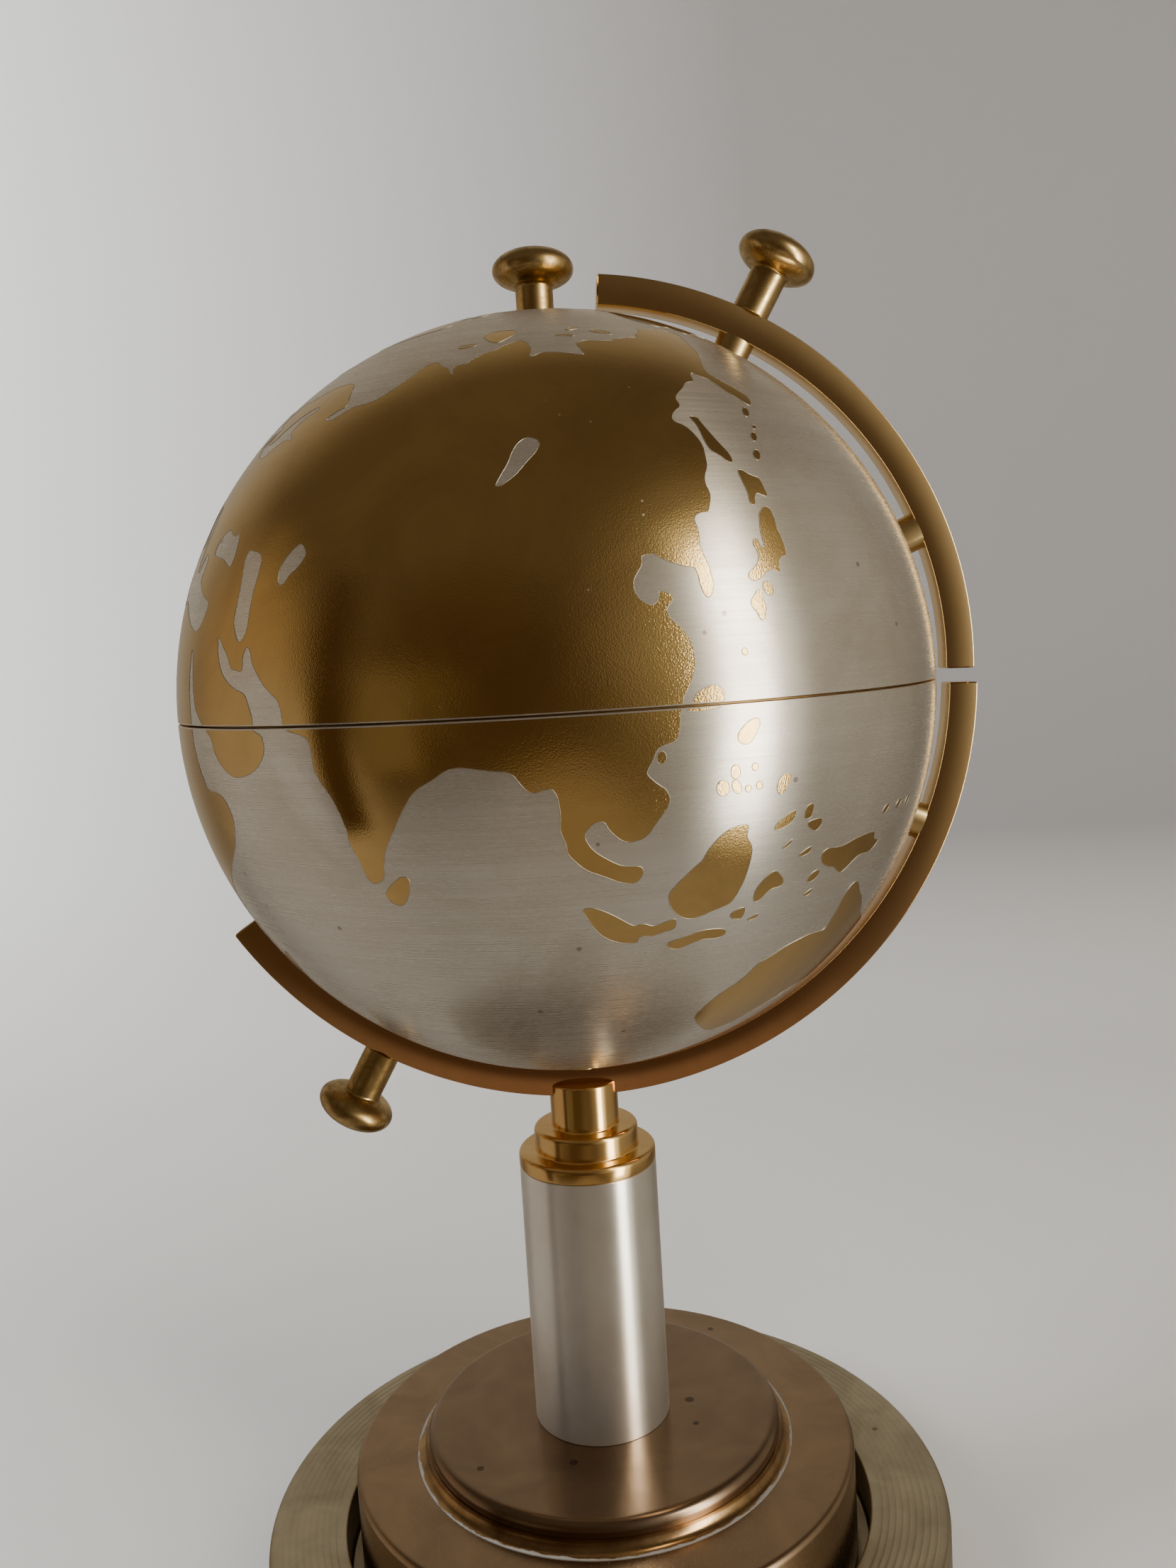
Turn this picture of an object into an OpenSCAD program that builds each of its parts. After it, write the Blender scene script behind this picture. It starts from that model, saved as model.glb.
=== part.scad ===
// Desktop globe on a turned stand.
// A thin metal sphere, split level through its middle into a bowl and a lift-off lid,
// stands on a column over a stepped round base. A square meridian bar, cut in line with
// the seam, is fixed to each half. Origin: centre of the underside. +Z up, -Y front,
// +X towards the side where the meridian bar passes the seam.

/* [Globe] */
// Outer radius of the sphere
globe_r = 50; // [45:0.5:60]
// Wall of both hemispheres
shell_t = 1.2; // [1:0.1:2]
// Bevel on the outer edge of each half at the seam
seam_bevel = 0.3; // [0.1:0.1:0.5]
// How far the locating ring stands up into the lid
rim_rise = 3; // [2:0.5:6]

/* [Meridian bar] */
// Thickness of the bar, outwards from the sphere
bar_t = 3.9; // [3.5:0.1:5]
// Width of the bar, front to back
bar_w = 4; // [3.5:0.1:5]
// Inside radius of the upper arc, which is bent tighter than the sphere
up_arc_r = 49.2; // [49:0.1:52.5]
// Inside radius of the lower arc
low_arc_r = 52.5; // [52:0.1:54]
// Angle of the bar's upper end above the level
bar_top_a = 81.2; // [75:0.1:82]
// Angle of the bar's lower left end
bar_low_a = -147.3; // [-155:0.1:-135]
// Angle of the upper arc's end at the seam
bar_up_cut_a = 0.7; // [0.5:0.1:3]
// Angle of the lower arc's end at the seam, below the level
bar_low_cut_a = 1.3; // [1:0.1:3]
// Angle of the globe's axis above the level
axis_a = 60; // [50:1:68]
// Angle of the stand-off on the upper bar
upper_post_a = 21.4; // [18:0.1:30]
// Angle of the stand-off on the lower bar
lower_post_a = -22.4; // [-30:0.1:-18]

/* [Knobs] */
// Radius of a knob's cap
cap_r = 5.4; // [4.5:0.1:6.5]
// Height of the rounded edge of a cap
cap_edge = 4.2; // [3.5:0.1:5]
// Height of the dome above the edge
cap_dome = 0.9; // [0.5:0.1:1.5]
// Radius of a knob's stem
stem_r = 2.5; // [2:0.1:2.8]
// Length of the upper axis knob's stem
up_stem_l = 5.9; // [4:0.1:8]
// Length of the lower axis knob's stem
low_stem_l = 6.4; // [4:0.1:8]
// Length of the top knob's stem above its washer
top_stem_l = 3.5; // [3:0.1:8]

/* [Column and collar] */
// Radius of the column and of the collar's ring
column_r = 9.7; // [9:0.1:12]
// Wall of the column tube
column_t = 1.2; // [1:0.1:2]
// Length of the column tube
column_l = 37.5; // [30:0.5:60]
// Height of the collar's ring
ring_h = 2.15; // [2:0.05:4]
// Radius of the collar's middle step
step_r = 7.35; // [6:0.05:8]
// Height of the collar's middle step
step_h = 3.25; // [2:0.05:5]
// Radius of the stub that holds the bar
stub_r = 4.8; // [4:0.1:5.5]
// Height of the stub
stub_h = 6.4; // [5:0.1:9]
// Depth of the saddle across the stub
saddle_d = 1.9; // [1.5:0.1:3]

/* [Base] */
// Outer radius of the foot ring
foot_r = 48.5; // [46:0.5:60]
// Height of the foot ring above the table
foot_h = 10.2; // [9.5:0.1:12]
// Radius of the drum
drum_r = 35.75; // [34:0.25:38]
// Running gap between the drum and the foot ring
drum_gap = 1.9; // [1:0.1:3]
// Height of the drum's top above the table
drum_top = 19; // [18:0.5:24]
// Wall and top of the drum
drum_t = 3; // [2:0.5:4]
// Radius of the top plate
plate_r = 25.35; // [20:0.05:28]
// Thickness of the top plate
plate_t = 3.7; // [3:0.1:6]
// Thickness of the felt under the foot
felt_t = 1; // [0.8:0.1:2]

/* [Hidden] */
// Centres of the two arcs, from the sphere's centre, in the bar's plane
up_arc_at = [3.9, 2.3];
low_arc_at = [1, 0.5];
$fn = 120;
eps = 0.01;

// Threads are plain cylinders: M2.5 through the shells, M4 down the column
stud_r = 1.25;
stud_hole_r = 1.3;
rod_r = 1.95;
rod_hole_r = 2.0;

// Globe
inner_r = globe_r - shell_t;
rim_r = inner_r - 0.4;
rim_t = 1;
rim_foot = 4;

// How far an arc of radius r about c is from the sphere's centre in direction a
function reach(a, r, c) = let (d = c[0] * cos(a) + c[1] * sin(a)) d + sqrt(r * r - c[0] * c[0] - c[1] * c[1] + d * d);

// The angle about the arc's own centre of the point in direction a from the sphere's centre
function own_angle(a, r, c) = let (t = reach(a, r, c)) atan2(t * sin(a) - c[1], t * cos(a) - c[0]);

// Small fasteners
nut_r = 2.9;
nut_h = 2;
nut_top = inner_r - 0.1;
spacer_r = stem_r;
arc_clear = 0.05;
post_r = 2.5;
post_tap = 1.6;
head_r = 2.3;
head_h = 1.4;
knob_washer_r = 3.4;
knob_washer_t = 0.6;
big_washer_r = 4.5;
big_washer_t = 0.8;
big_washer_z = inner_r - 0.25;

// Base, from the table up
floor_t = 2.6;
hub_r = 10;
hub_top = 7.4;
nut_well_r = 5;
nut_well_top = 5;
bush_r = 3.5;
thrust_t = 0.8;
thrust_r = 9.5;
drum_floor_gap = 1.2;
plate_edge = 1.5;
cove_r = 1.5;
cove_lip = 0.15;
boss_h = 5;
fit_gap = 0.1;
plate_top = drum_top + plate_t;
column_top = plate_top + column_l;
step_z = column_top + ring_h;
stub_z = step_z + step_h;
stub_top = stub_z + stub_h;
globe_z = stub_top - saddle_d + reach(-90, low_arc_r + bar_t, low_arc_at);
spigot_h = 6;

// Turns children, built along +Z from the sphere's centre, to an angle above the level
module radial(a) translate([0, 0, globe_z]) rotate([0, 90 - a, 0]) children();

// A flat ring
module ring(r_out, r_in, h)
    difference() {
        cylinder(r = r_out, h = h);
        translate([0, 0, -1]) cylinder(r = r_in, h = h + 2);
    }

// Half of the shell, its seam at z = 0 and its pole at +Z
module half_shell()
    difference() {
        sphere(r = globe_r);
        sphere(r = inner_r);
        translate([0, 0, -globe_r / 2 - 1]) cube([3 * globe_r, 3 * globe_r, globe_r + 2], center = true);
        rotate_extrude() translate([globe_r - seam_bevel, 0]) polygon([[0, -1], [0, 0], [2, 2], [2, -1]]);
    }

// A stretch of the square meridian bar from angle a0 to angle a1, of inside radius r about c
module bar(a0, a1, r, c) {
    b0 = own_angle(a0, r + bar_t / 2, c);
    b1 = own_angle(a1, r + bar_t / 2, c);
    translate([c[0], 0, globe_z + c[1]]) rotate([90, 0, 0]) rotate([0, 0, b0]) rotate_extrude(angle = b1 - b0)
        translate([r, -bar_w / 2]) square([bar_t, bar_w]);
}

// A disc across the bar's plane, of radius r about c, to trim what meets an arc
module arc_disc(r, c, w)
    translate([c[0], 0, globe_z + c[1]]) rotate([90, 0, 0]) translate([0, 0, -w / 2]) cylinder(r = r, h = w, $fn = 360);

// A clearance hole for a stud, right through shell and bar
module stud_hole() translate([0, 0, inner_r - 2]) cylinder(r = stud_hole_r, h = 14);

// A turned knob's domed cap, cap_z from the sphere's centre
module knob_cap(cap_z) {
    dome_r0 = cap_r - cap_edge / 2;
    dome_r = (dome_r0 * dome_r0 + cap_dome * cap_dome) / (2 * cap_dome);
    translate([0, 0, cap_z]) rotate_extrude() {
        square([dome_r0, cap_edge]);
        translate([dome_r0, cap_edge / 2]) circle(r = cap_edge / 2, $fn = 48);
    }
    translate([0, 0, cap_z + cap_edge]) intersection() {
        translate([0, 0, cap_dome - dome_r]) sphere(r = dome_r);
        translate([0, 0, -eps]) cylinder(r = dome_r0 + 1, h = cap_dome + 1);
    }
}

// A knob's threaded stud, from inside the sphere up to h from the centre
module stud(h) translate([0, 0, inner_r - nut_h - 0.6]) cylinder(r = stud_r, h = h - inner_r + nut_h + 0.6);

// A knob on the bar at angle a, its stem trimmed to the arc's outside
module bar_knob(a, stem_l, r, c) {
    base = reach(a, r + bar_t, c);
    difference() {
        radial(a) translate([0, 0, base - 0.5]) cylinder(r = stem_r, h = stem_l + 0.5 + eps);
        arc_disc(r + bar_t, c, 3 * stem_r);
    }
    radial(a) {
        stud(base + 1);
        knob_cap(base + stem_l);
    }
}

module small_nut()
    translate([0, 0, nut_top - nut_h]) difference() {
        cylinder(r = nut_r, h = nut_h, $fn = 6);
        translate([0, 0, -1]) cylinder(r = stud_hole_r, h = nut_h + 2);
    }

// Spacer between the sphere and an arc at angle a, its end shaped to the arc's inside
module spacer(a, r, c) intersection() {
    radial(a) translate([0, 0, globe_r]) ring(spacer_r, stud_hole_r, reach(a, r, c) - globe_r + 1);
    arc_disc(r - arc_clear, c, 3 * spacer_r);
}

// Post between the sphere and an arc at angle a, tapped from the sphere's side
module standoff(a, r, c) difference() {
    intersection() {
        radial(a) translate([0, 0, globe_r]) cylinder(r = post_r, h = reach(a, r, c) - globe_r + 1);
        arc_disc(r - arc_clear, c, 3 * post_r);
    }
    radial(a) translate([0, 0, globe_r - 1]) cylinder(r = stud_hole_r, h = 1 + post_tap);
}

// Cheese-head screw, put in from inside the sphere
module standoff_screw() {
    translate([0, 0, nut_top - head_h]) cylinder(r = head_r, h = head_h);
    translate([0, 0, nut_top - eps]) cylinder(r = stud_r, h = globe_r + post_tap - 0.1 - nut_top + eps);
}

// ---- Foot ----

module felt_pad() color("#2f3a34") cylinder(r = foot_r - 2, h = felt_t);

// Turned dish: a broad outer ring, a thin floor and a hub with a well for the nut
module foot_ring() color("#8f8a6a") difference() {
    translate([0, 0, felt_t]) cylinder(r = foot_r, h = foot_h - felt_t);
    difference() {
        translate([0, 0, felt_t + floor_t]) cylinder(r = drum_r + drum_gap, h = foot_h);
        cylinder(r = hub_r, h = hub_top);
    }
    cylinder(r = nut_well_r, h = nut_well_top);
    cylinder(r = bush_r, h = foot_h);
}

module pivot_bush() color("#b08d4a") translate([0, 0, nut_well_top]) ring(bush_r, rod_hole_r, hub_top - nut_well_top);

module thrust_washer() color("#e8e4d8") translate([0, 0, hub_top]) ring(thrust_r, bush_r + fit_gap, thrust_t);

// ---- Stand ----

// Hollow drum with a centre boss that runs on the thrust washer
module drum() color("#8a5f3c") difference() {
    translate([0, 0, felt_t + floor_t + drum_floor_gap])
        cylinder(r = drum_r, h = drum_top - felt_t - floor_t - drum_floor_gap);
    difference() {
        cylinder(r = drum_r - drum_t, h = drum_top - drum_t);
        translate([0, 0, hub_top + thrust_t]) cylinder(r = thrust_r, h = drum_top);
    }
    cylinder(r = rod_hole_r, h = drum_top + 1);
}

module ballast() color("#4a4a4c") translate([0, 0, hub_top + 2 * thrust_t])
    ring(drum_r - drum_t - 1, thrust_r + 0.5, drum_top - drum_t - hub_top - 2 * thrust_t);

// Cove that runs the drum's top up into the edge of the top plate
module cove_ring() color("#8a6a42") translate([0, 0, drum_top]) rotate_extrude() translate([plate_r + 0.05, 0])
    difference() {
        square([cove_r + cove_lip, cove_r + cove_lip]);
        translate([cove_r + cove_lip, cove_r + cove_lip]) circle(r = cove_r, $fn = 48);
    }

// Plate with a rounded rim and a boss that centres the column
module top_plate() color("#7d5a3a") difference() {
    union() {
        translate([0, 0, drum_top]) rotate_extrude() {
            square([plate_r - plate_edge, plate_t]);
            square([plate_r, plate_t - plate_edge]);
            translate([plate_r - plate_edge, plate_t - plate_edge]) circle(r = plate_edge, $fn = 48);
        }
        translate([0, 0, drum_top]) cylinder(r = column_r - column_t - fit_gap, h = plate_t + boss_h);
    }
    cylinder(r = rod_hole_r, h = 2 * drum_top);
}

module column() color("#b9b4a6") translate([0, 0, plate_top]) ring(column_r, column_r - column_t, column_l);

// Stepped collar: spigot into the tube, ring, middle step, and stub with a saddle for the bar
module collar() color("#c79a4b") difference() {
    union() {
        translate([0, 0, column_top - spigot_h]) cylinder(r = column_r - column_t - fit_gap, h = spigot_h + 1);
        translate([0, 0, column_top]) cylinder(r = column_r, h = ring_h);
        translate([0, 0, column_top]) cylinder(r = step_r, h = ring_h + step_h);
        translate([0, 0, column_top]) cylinder(r = stub_r, h = ring_h + step_h + stub_h);
    }
    arc_disc(low_arc_r + bar_t, low_arc_at, bar_w + 0.1);
    translate([0, 0, column_top - spigot_h - 1]) cylinder(r = rod_hole_r, h = spigot_h + 1);
    translate([0, 0, step_z]) cylinder(r = stud_hole_r, h = 3 * stub_h);
}

module tie_rod() color("#9b9b98") translate([0, 0, felt_t + 0.2]) cylinder(r = rod_r, h = column_top - felt_t - 0.4);

module tie_nut() color("#8c8c88") translate([0, 0, nut_well_top - 3.2]) difference() {
    cylinder(r = 4.04, h = 2.6, $fn = 6);
    translate([0, 0, -1]) cylinder(r = rod_hole_r, h = 6);
}

module spring_washer() color("#8c8c88") translate([0, 0, nut_well_top - 0.6]) ring(3.8, rod_hole_r, 0.5);

// Lower hemisphere with its four screw holes
module bowl() color("#aaa493") difference() {
    translate([0, 0, globe_z]) mirror([0, 0, 1]) half_shell();
    for (a = [-90, axis_a - 180, lower_post_a]) radial(a) stud_hole();
}

// Locating ring inside the rim of the bowl, standing up into the lid
module rim_ring() color("#b8975a") translate([0, 0, globe_z]) difference() {
    union() {
        intersection() {
            translate([0, 0, -rim_foot]) cylinder(r = globe_r, h = rim_foot);
            sphere(r = inner_r);
        }
        translate([0, 0, -eps]) cylinder(r = rim_r, h = rim_rise + eps);
    }
    translate([0, 0, -rim_foot - 1]) cylinder(r = rim_r - rim_t, h = rim_foot + rim_rise + 2);
}

module lower_meridian() color("#b3763c") difference() {
    bar(bar_low_a, -bar_low_cut_a, low_arc_r, low_arc_at);
    for (a = [-90, axis_a - 180]) radial(a) stud_hole();
}

module bottom_spacer() color("#b08d4a") spacer(-90, low_arc_r, low_arc_at);

// Screw from inside the bowl, through spacer and bar, into the collar
module centre_screw() color("#9b9b98") radial(-90) {
    translate([0, 0, big_washer_z - big_washer_t - 1.8]) cylinder(r = 2.4, h = 1.8);
    translate([0, 0, big_washer_z - big_washer_t - eps])
        cylinder(r = stud_r, h = globe_z - step_z - 1 - big_washer_z + big_washer_t);
}

module centre_washer() color("#9b9b98") radial(-90)
    translate([0, 0, big_washer_z - big_washer_t]) ring(big_washer_r, stud_hole_r, big_washer_t);

module lower_axis_knob() color("#a07c3c") bar_knob(axis_a - 180, low_stem_l, low_arc_r, low_arc_at);
module lower_axis_spacer() color("#b08d4a") spacer(axis_a - 180, low_arc_r, low_arc_at);
module lower_axis_nut() color("#8c8c88") radial(axis_a - 180) small_nut();
module lower_standoff() color("#b08d4a") standoff(lower_post_a, low_arc_r, low_arc_at);
module lower_standoff_screw() color("#8c8c88") radial(lower_post_a) standoff_screw();

// ---- Lid ----

// Upper hemisphere with its three screw holes
module lid() color("#aaa493") difference() {
    translate([0, 0, globe_z]) half_shell();
    for (a = [90, axis_a, upper_post_a]) radial(a) stud_hole();
}

module upper_meridian() color("#b98a4a") difference() {
    bar(bar_up_cut_a, bar_top_a, up_arc_r, up_arc_at);
    radial(axis_a) stud_hole();
}

module top_knob() color("#a07c3c") radial(90) {
    stud(globe_r + knob_washer_t + 1);
    translate([0, 0, globe_r + knob_washer_t]) cylinder(r = stem_r, h = top_stem_l + eps);
    knob_cap(globe_r + knob_washer_t + top_stem_l);
}

module top_knob_washer() color("#3c3630") radial(90)
    translate([0, 0, globe_r]) ring(knob_washer_r, stud_hole_r, knob_washer_t);
module top_knob_nut() color("#8c8c88") radial(90) small_nut();
module upper_axis_knob() color("#a07c3c") bar_knob(axis_a, up_stem_l, up_arc_r, up_arc_at);
module upper_axis_spacer() color("#b08d4a") spacer(axis_a, up_arc_r, up_arc_at);
module upper_axis_nut() color("#8c8c88") radial(axis_a) small_nut();
module upper_standoff() color("#b08d4a") standoff(upper_post_a, up_arc_r, up_arc_at);
module upper_standoff_screw() color("#8c8c88") radial(upper_post_a) standoff_screw();

felt_pad();
foot_ring();
pivot_bush();
thrust_washer();
drum();
ballast();
cove_ring();
top_plate();
column();
collar();
tie_rod();
tie_nut();
spring_washer();
bowl();
rim_ring();
lower_meridian();
bottom_spacer();
centre_screw();
centre_washer();
lower_axis_knob();
lower_axis_spacer();
lower_axis_nut();
lower_standoff();
lower_standoff_screw();
lid();
upper_meridian();
top_knob();
top_knob_washer();
top_knob_nut();
upper_axis_knob();
upper_axis_spacer();
upper_axis_nut();
upper_standoff();
upper_standoff_screw();
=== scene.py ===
"""Desktop globe on stand: the looks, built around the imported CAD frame."""
import math

import bmesh
import bpy
import numpy as np
from mathutils import Matrix, Vector
from mathutils.geometry import delaunay_2d_cdt


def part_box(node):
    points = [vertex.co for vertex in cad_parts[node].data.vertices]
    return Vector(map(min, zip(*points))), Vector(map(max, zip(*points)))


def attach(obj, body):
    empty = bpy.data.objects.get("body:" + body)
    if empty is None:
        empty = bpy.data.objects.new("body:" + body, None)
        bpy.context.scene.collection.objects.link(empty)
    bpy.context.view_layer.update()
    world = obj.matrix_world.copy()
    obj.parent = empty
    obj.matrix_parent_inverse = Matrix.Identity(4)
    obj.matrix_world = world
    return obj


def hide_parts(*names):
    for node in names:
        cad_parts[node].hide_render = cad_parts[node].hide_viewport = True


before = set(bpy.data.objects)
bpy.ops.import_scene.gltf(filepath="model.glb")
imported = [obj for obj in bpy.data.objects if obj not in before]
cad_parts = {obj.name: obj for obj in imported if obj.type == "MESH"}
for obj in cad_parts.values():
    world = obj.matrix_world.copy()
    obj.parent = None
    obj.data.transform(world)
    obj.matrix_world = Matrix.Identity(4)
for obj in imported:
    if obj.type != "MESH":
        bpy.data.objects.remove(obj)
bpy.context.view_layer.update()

MM = 0.001
CENTRE = Vector((0, 0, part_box("lid")[0].z))
GLOBE_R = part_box("lid")[1].x
SHELL_T = 1.2 * MM
UP = Vector((0, 0, 1))


def direction(angle):
    """Unit vector in the meridian bar's plane, at an angle in degrees above the level."""
    return Vector((math.cos(math.radians(angle)), 0, math.sin(math.radians(angle))))


def link(name, data):
    """Adds an object for a mesh, light or camera to the scene."""
    obj = bpy.data.objects.new(name, data)
    bpy.context.scene.collection.objects.link(obj)
    return obj


# ---------------------------------------------------------------- camera
CAM_OFFSET = Vector((-1.36, -175.55, 6.2)) * MM
CAM_AZIMUTH = 1.5
CAM_PITCH = 6.0
CAM_ROLL = 3.44
SENSOR = 36.0
LENS = 29.3

camera_data = bpy.data.cameras.new("camera")
camera_data.sensor_width = SENSOR
camera_data.lens = LENS
camera_data.clip_start = 0.005
camera = link("camera", camera_data)
camera.matrix_world = (
    Matrix.Translation(CENTRE + CAM_OFFSET)
    @ Matrix.Rotation(math.radians(-CAM_AZIMUTH), 4, "Z")
    @ Matrix.Rotation(math.radians(90 - CAM_PITCH), 4, "X")
    @ Matrix.Rotation(math.radians(-CAM_ROLL), 4, "Z")
)
bpy.context.scene.camera = camera


# ---------------------------------------------------------------- materials
class Nodes:
    """A node tree, and short ways to add nodes to it."""

    def __init__(self, tree):
        self.tree = tree

    def feed(self, socket, value):
        """Gives a socket a link or a plain value."""
        if isinstance(value, bpy.types.NodeSocket):
            self.tree.links.new(value, socket)
        else:
            socket.default_value = value

    def add(self, kind, inputs=None, **properties):
        node = self.tree.nodes.new(kind)
        for key, value in properties.items():
            setattr(node, key, value)
        for key, value in (inputs or {}).items():
            self.feed(node.inputs[key], value)
        return node

    def mix(self, fac, a, b):
        """Colour a where fac is 0 and b where it is 1."""
        a, b = (c if isinstance(c, bpy.types.NodeSocket) else (*c, 1) for c in (a, b))
        return self.add("ShaderNodeMix", {0: fac, 6: a, 7: b}, data_type="RGBA").outputs[2]

    def math(self, operation, a, b=0.0):
        return self.add("ShaderNodeMath", {0: a, 1: b}, operation=operation).outputs[0]

    def share(self, value, start, end, **properties):
        """Maps start..end to 0..1."""
        ends = {"Value": value, "From Min": start, "From Max": end}
        return self.add("ShaderNodeMapRange", ends, **properties).outputs[0]


class Shader(Nodes):
    """A material with a Principled shader."""

    def __init__(self, name, roughness=0.3, metallic=1.0):
        self.material = bpy.data.materials.new(name)
        self.material.use_nodes = True
        super().__init__(self.material.node_tree)
        self.bsdf = self.tree.nodes["Principled BSDF"]
        self.set("Metallic", metallic)
        self.set("Roughness", roughness)
        self.position = self.add("ShaderNodeTexCoord").outputs["Object"]

    def set(self, socket, value):
        self.feed(self.bsdf.inputs[socket], value)

    def stretched(self, x, y, z):
        """Object position times a scale per axis, so 1/x is a feature's size in metres."""
        return self.add("ShaderNodeMapping", {"Vector": self.position, "Scale": (x, y, z)}).outputs[0]

    def split(self, vector):
        """The x, y and z of a vector."""
        return self.add("ShaderNodeSeparateXYZ", {"Vector": vector}).outputs

    def from_axis(self, vector):
        """How far a point is from the upright axis."""
        flat = self.add("ShaderNodeVectorMath", {0: vector, 1: (1, 1, 0)}, operation="MULTIPLY").outputs[0]
        return self.add("ShaderNodeVectorMath", {0: flat}, operation="LENGTH").outputs["Value"]

    def lathed(self, across, along):
        """Coordinates for lines that circle the sphere level: long round it, fine from pole to pole."""
        out = self.add(
            "ShaderNodeVectorMath", {0: self.position, 1: CENTRE}, operation="SUBTRACT").outputs[0]
        x, y, z = self.split(out)
        polar = self.math("ARCTAN2", self.from_axis(out), z)
        return self.add("ShaderNodeCombineXYZ", {
            0: self.math("MULTIPLY", x, across), 1: self.math("MULTIPLY", y, across),
            2: self.math("MULTIPLY", polar, along * GLOBE_R)}).outputs[0]

    def noise(self, vector, scale=1.0, detail=2.0, roughness=0.5, distortion=0.0):
        return self.add("ShaderNodeTexNoise", {
            "Vector": vector, "Scale": scale, "Detail": detail, "Roughness": roughness,
            "Distortion": distortion}).outputs["Fac"]

    def ramp(self, fac, *stops):
        """A colour ramp. Each stop is (position, grey or colour)."""
        node = self.add("ShaderNodeValToRGB", {"Fac": fac})
        ends = node.color_ramp.elements
        while len(ends) < len(stops):
            ends.new(0.5)
        for end, (place, value) in zip(ends, stops):
            end.position = place
            end.color = (value, value, value, 1) if isinstance(value, (int, float)) else (*value, 1)
        return node.outputs["Color"]

    def range(self, value, low, high):
        """Maps 0..1 to low..high."""
        return self.add("ShaderNodeMapRange", {"Value": value, "To Min": low, "To Max": high}).outputs[0]

    def patches(self, fac, start, end):
        """0 below start and 1 above end, for blotches of a second tint."""
        return self.ramp(fac, (start, 0.0), (end, 1.0))

    def brush_round(self, amount):
        """Brushing that circles the upright axis, so that a highlight runs up and down."""
        self.set("Anisotropic", amount)
        self.set("Anisotropic Rotation", 0.25)
        self.set("Tangent", self.add("ShaderNodeTangent", direction_type="RADIAL", axis="Z").outputs[0])

    def bump(self, height, strength, depth, under=None):
        inputs = {"Height": height, "Strength": strength, "Distance": depth}
        if under is not None:
            inputs["Normal"] = under
        return self.add("ShaderNodeBump", inputs).outputs[0]

    def spots(self, scale, size, share):
        """1 in small round spots: scale per metre, size in cells, share of the cells that have one."""
        cells = self.add("ShaderNodeTexVoronoi", {"Vector": self.position, "Scale": scale})
        inside = self.math("LESS_THAN", cells.outputs["Distance"], size)
        chosen = self.add("ShaderNodeSeparateColor", {"Color": cells.outputs["Color"]}).outputs[0]
        return self.math("MULTIPLY", inside, self.math("LESS_THAN", chosen, share))


def sea_silver():
    """Satin silver, brushed in level lines on a lathe, warmer and darker towards the top."""
    s = Shader("sea_silver", metallic=0.86)
    lines = s.noise(s.lathed(26, 2500), detail=5, roughness=0.75)
    streaks = s.noise(s.lathed(9, 620), detail=4, roughness=0.7)
    fine = s.noise(s.lathed(160, 9000), detail=2)
    stain = s.noise(s.position, scale=48, detail=5, roughness=0.62, distortion=0.7)
    pits = s.spots(420, 0.13, 0.10)
    # Both tints turn warmer and darker towards the top, by height alone.
    height = s.share(s.split(s.position)[2], CENTRE.z - 25 * MM, CENTRE.z + 40 * MM)
    clean = s.mix(height, (0.75, 0.72, 0.655), (0.71, 0.635, 0.52))
    tarnished = s.mix(height, (0.60, 0.55, 0.465), (0.52, 0.435, 0.32))
    tint = s.mix(s.patches(stain, 0.38, 0.72), clean, tarnished)
    worn = s.math("ADD", s.range(lines, -0.55, 0.75), s.range(streaks, -0.45, 0.55))
    tint = s.mix(worn, tint, tarnished)
    s.set("Base Color", s.mix(s.math("MULTIPLY", pits, 0.6), tint, (0.16, 0.11, 0.07)))
    s.set("Roughness", s.math("ADD", s.range(lines, 0.17, 0.35), s.range(stain, -0.05, 0.07)))
    s.brush_round(0.8)
    normal = s.bump(lines, 0.2, 0.03 * MM)
    normal = s.bump(streaks, 0.07, 0.05 * MM, normal)
    normal = s.bump(fine, 0.35, 0.008 * MM, normal)
    s.set("Normal", s.bump(pits, -0.6, 0.02 * MM, normal))
    return s.material


def land_gold():
    """Polished gilt: a sparkling fine grain in patches, smooth elsewhere, with dust and thin patina."""
    s = Shader("land_gold")
    grain = s.noise(s.position, scale=5200, detail=2, roughness=0.6)
    wipe = s.noise(s.stretched(70, 70, 1500), detail=3, roughness=0.6)
    patina = s.noise(s.position, scale=62, detail=5, roughness=0.62, distortion=0.8)
    worn = s.ramp(s.noise(s.position, scale=26, detail=3), (0.42, 0.25), (0.62, 1.0))
    dust = s.spots(650, 0.10, 0.08)
    tint = s.mix(s.patches(patina, 0.35, 0.75), (0.82, 0.575, 0.225), (0.63, 0.415, 0.165))
    s.set("Base Color", s.mix(s.math("MULTIPLY", dust, 0.5), tint, (0.80, 0.74, 0.60)))
    s.set("Roughness", s.math("ADD", s.range(patina, 0.03, 0.12), s.math("MULTIPLY", dust, 0.3)))
    normal = s.bump(s.math("MULTIPLY", grain, worn), 0.8, 0.035 * MM)
    s.set("Normal", s.bump(wipe, 0.15, 0.02 * MM, normal))
    return s.material


def coast_silver():
    """Burnished edge of the silver along the coasts."""
    s = Shader("coast_silver")
    worn = s.noise(s.position, scale=700, detail=3)
    s.set("Roughness", s.range(worn, 0.34, 0.55))
    s.set("Base Color", s.ramp(worn, (0.3, (0.46, 0.39, 0.28)), (0.6, (0.68, 0.62, 0.50))))
    return s.material


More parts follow.
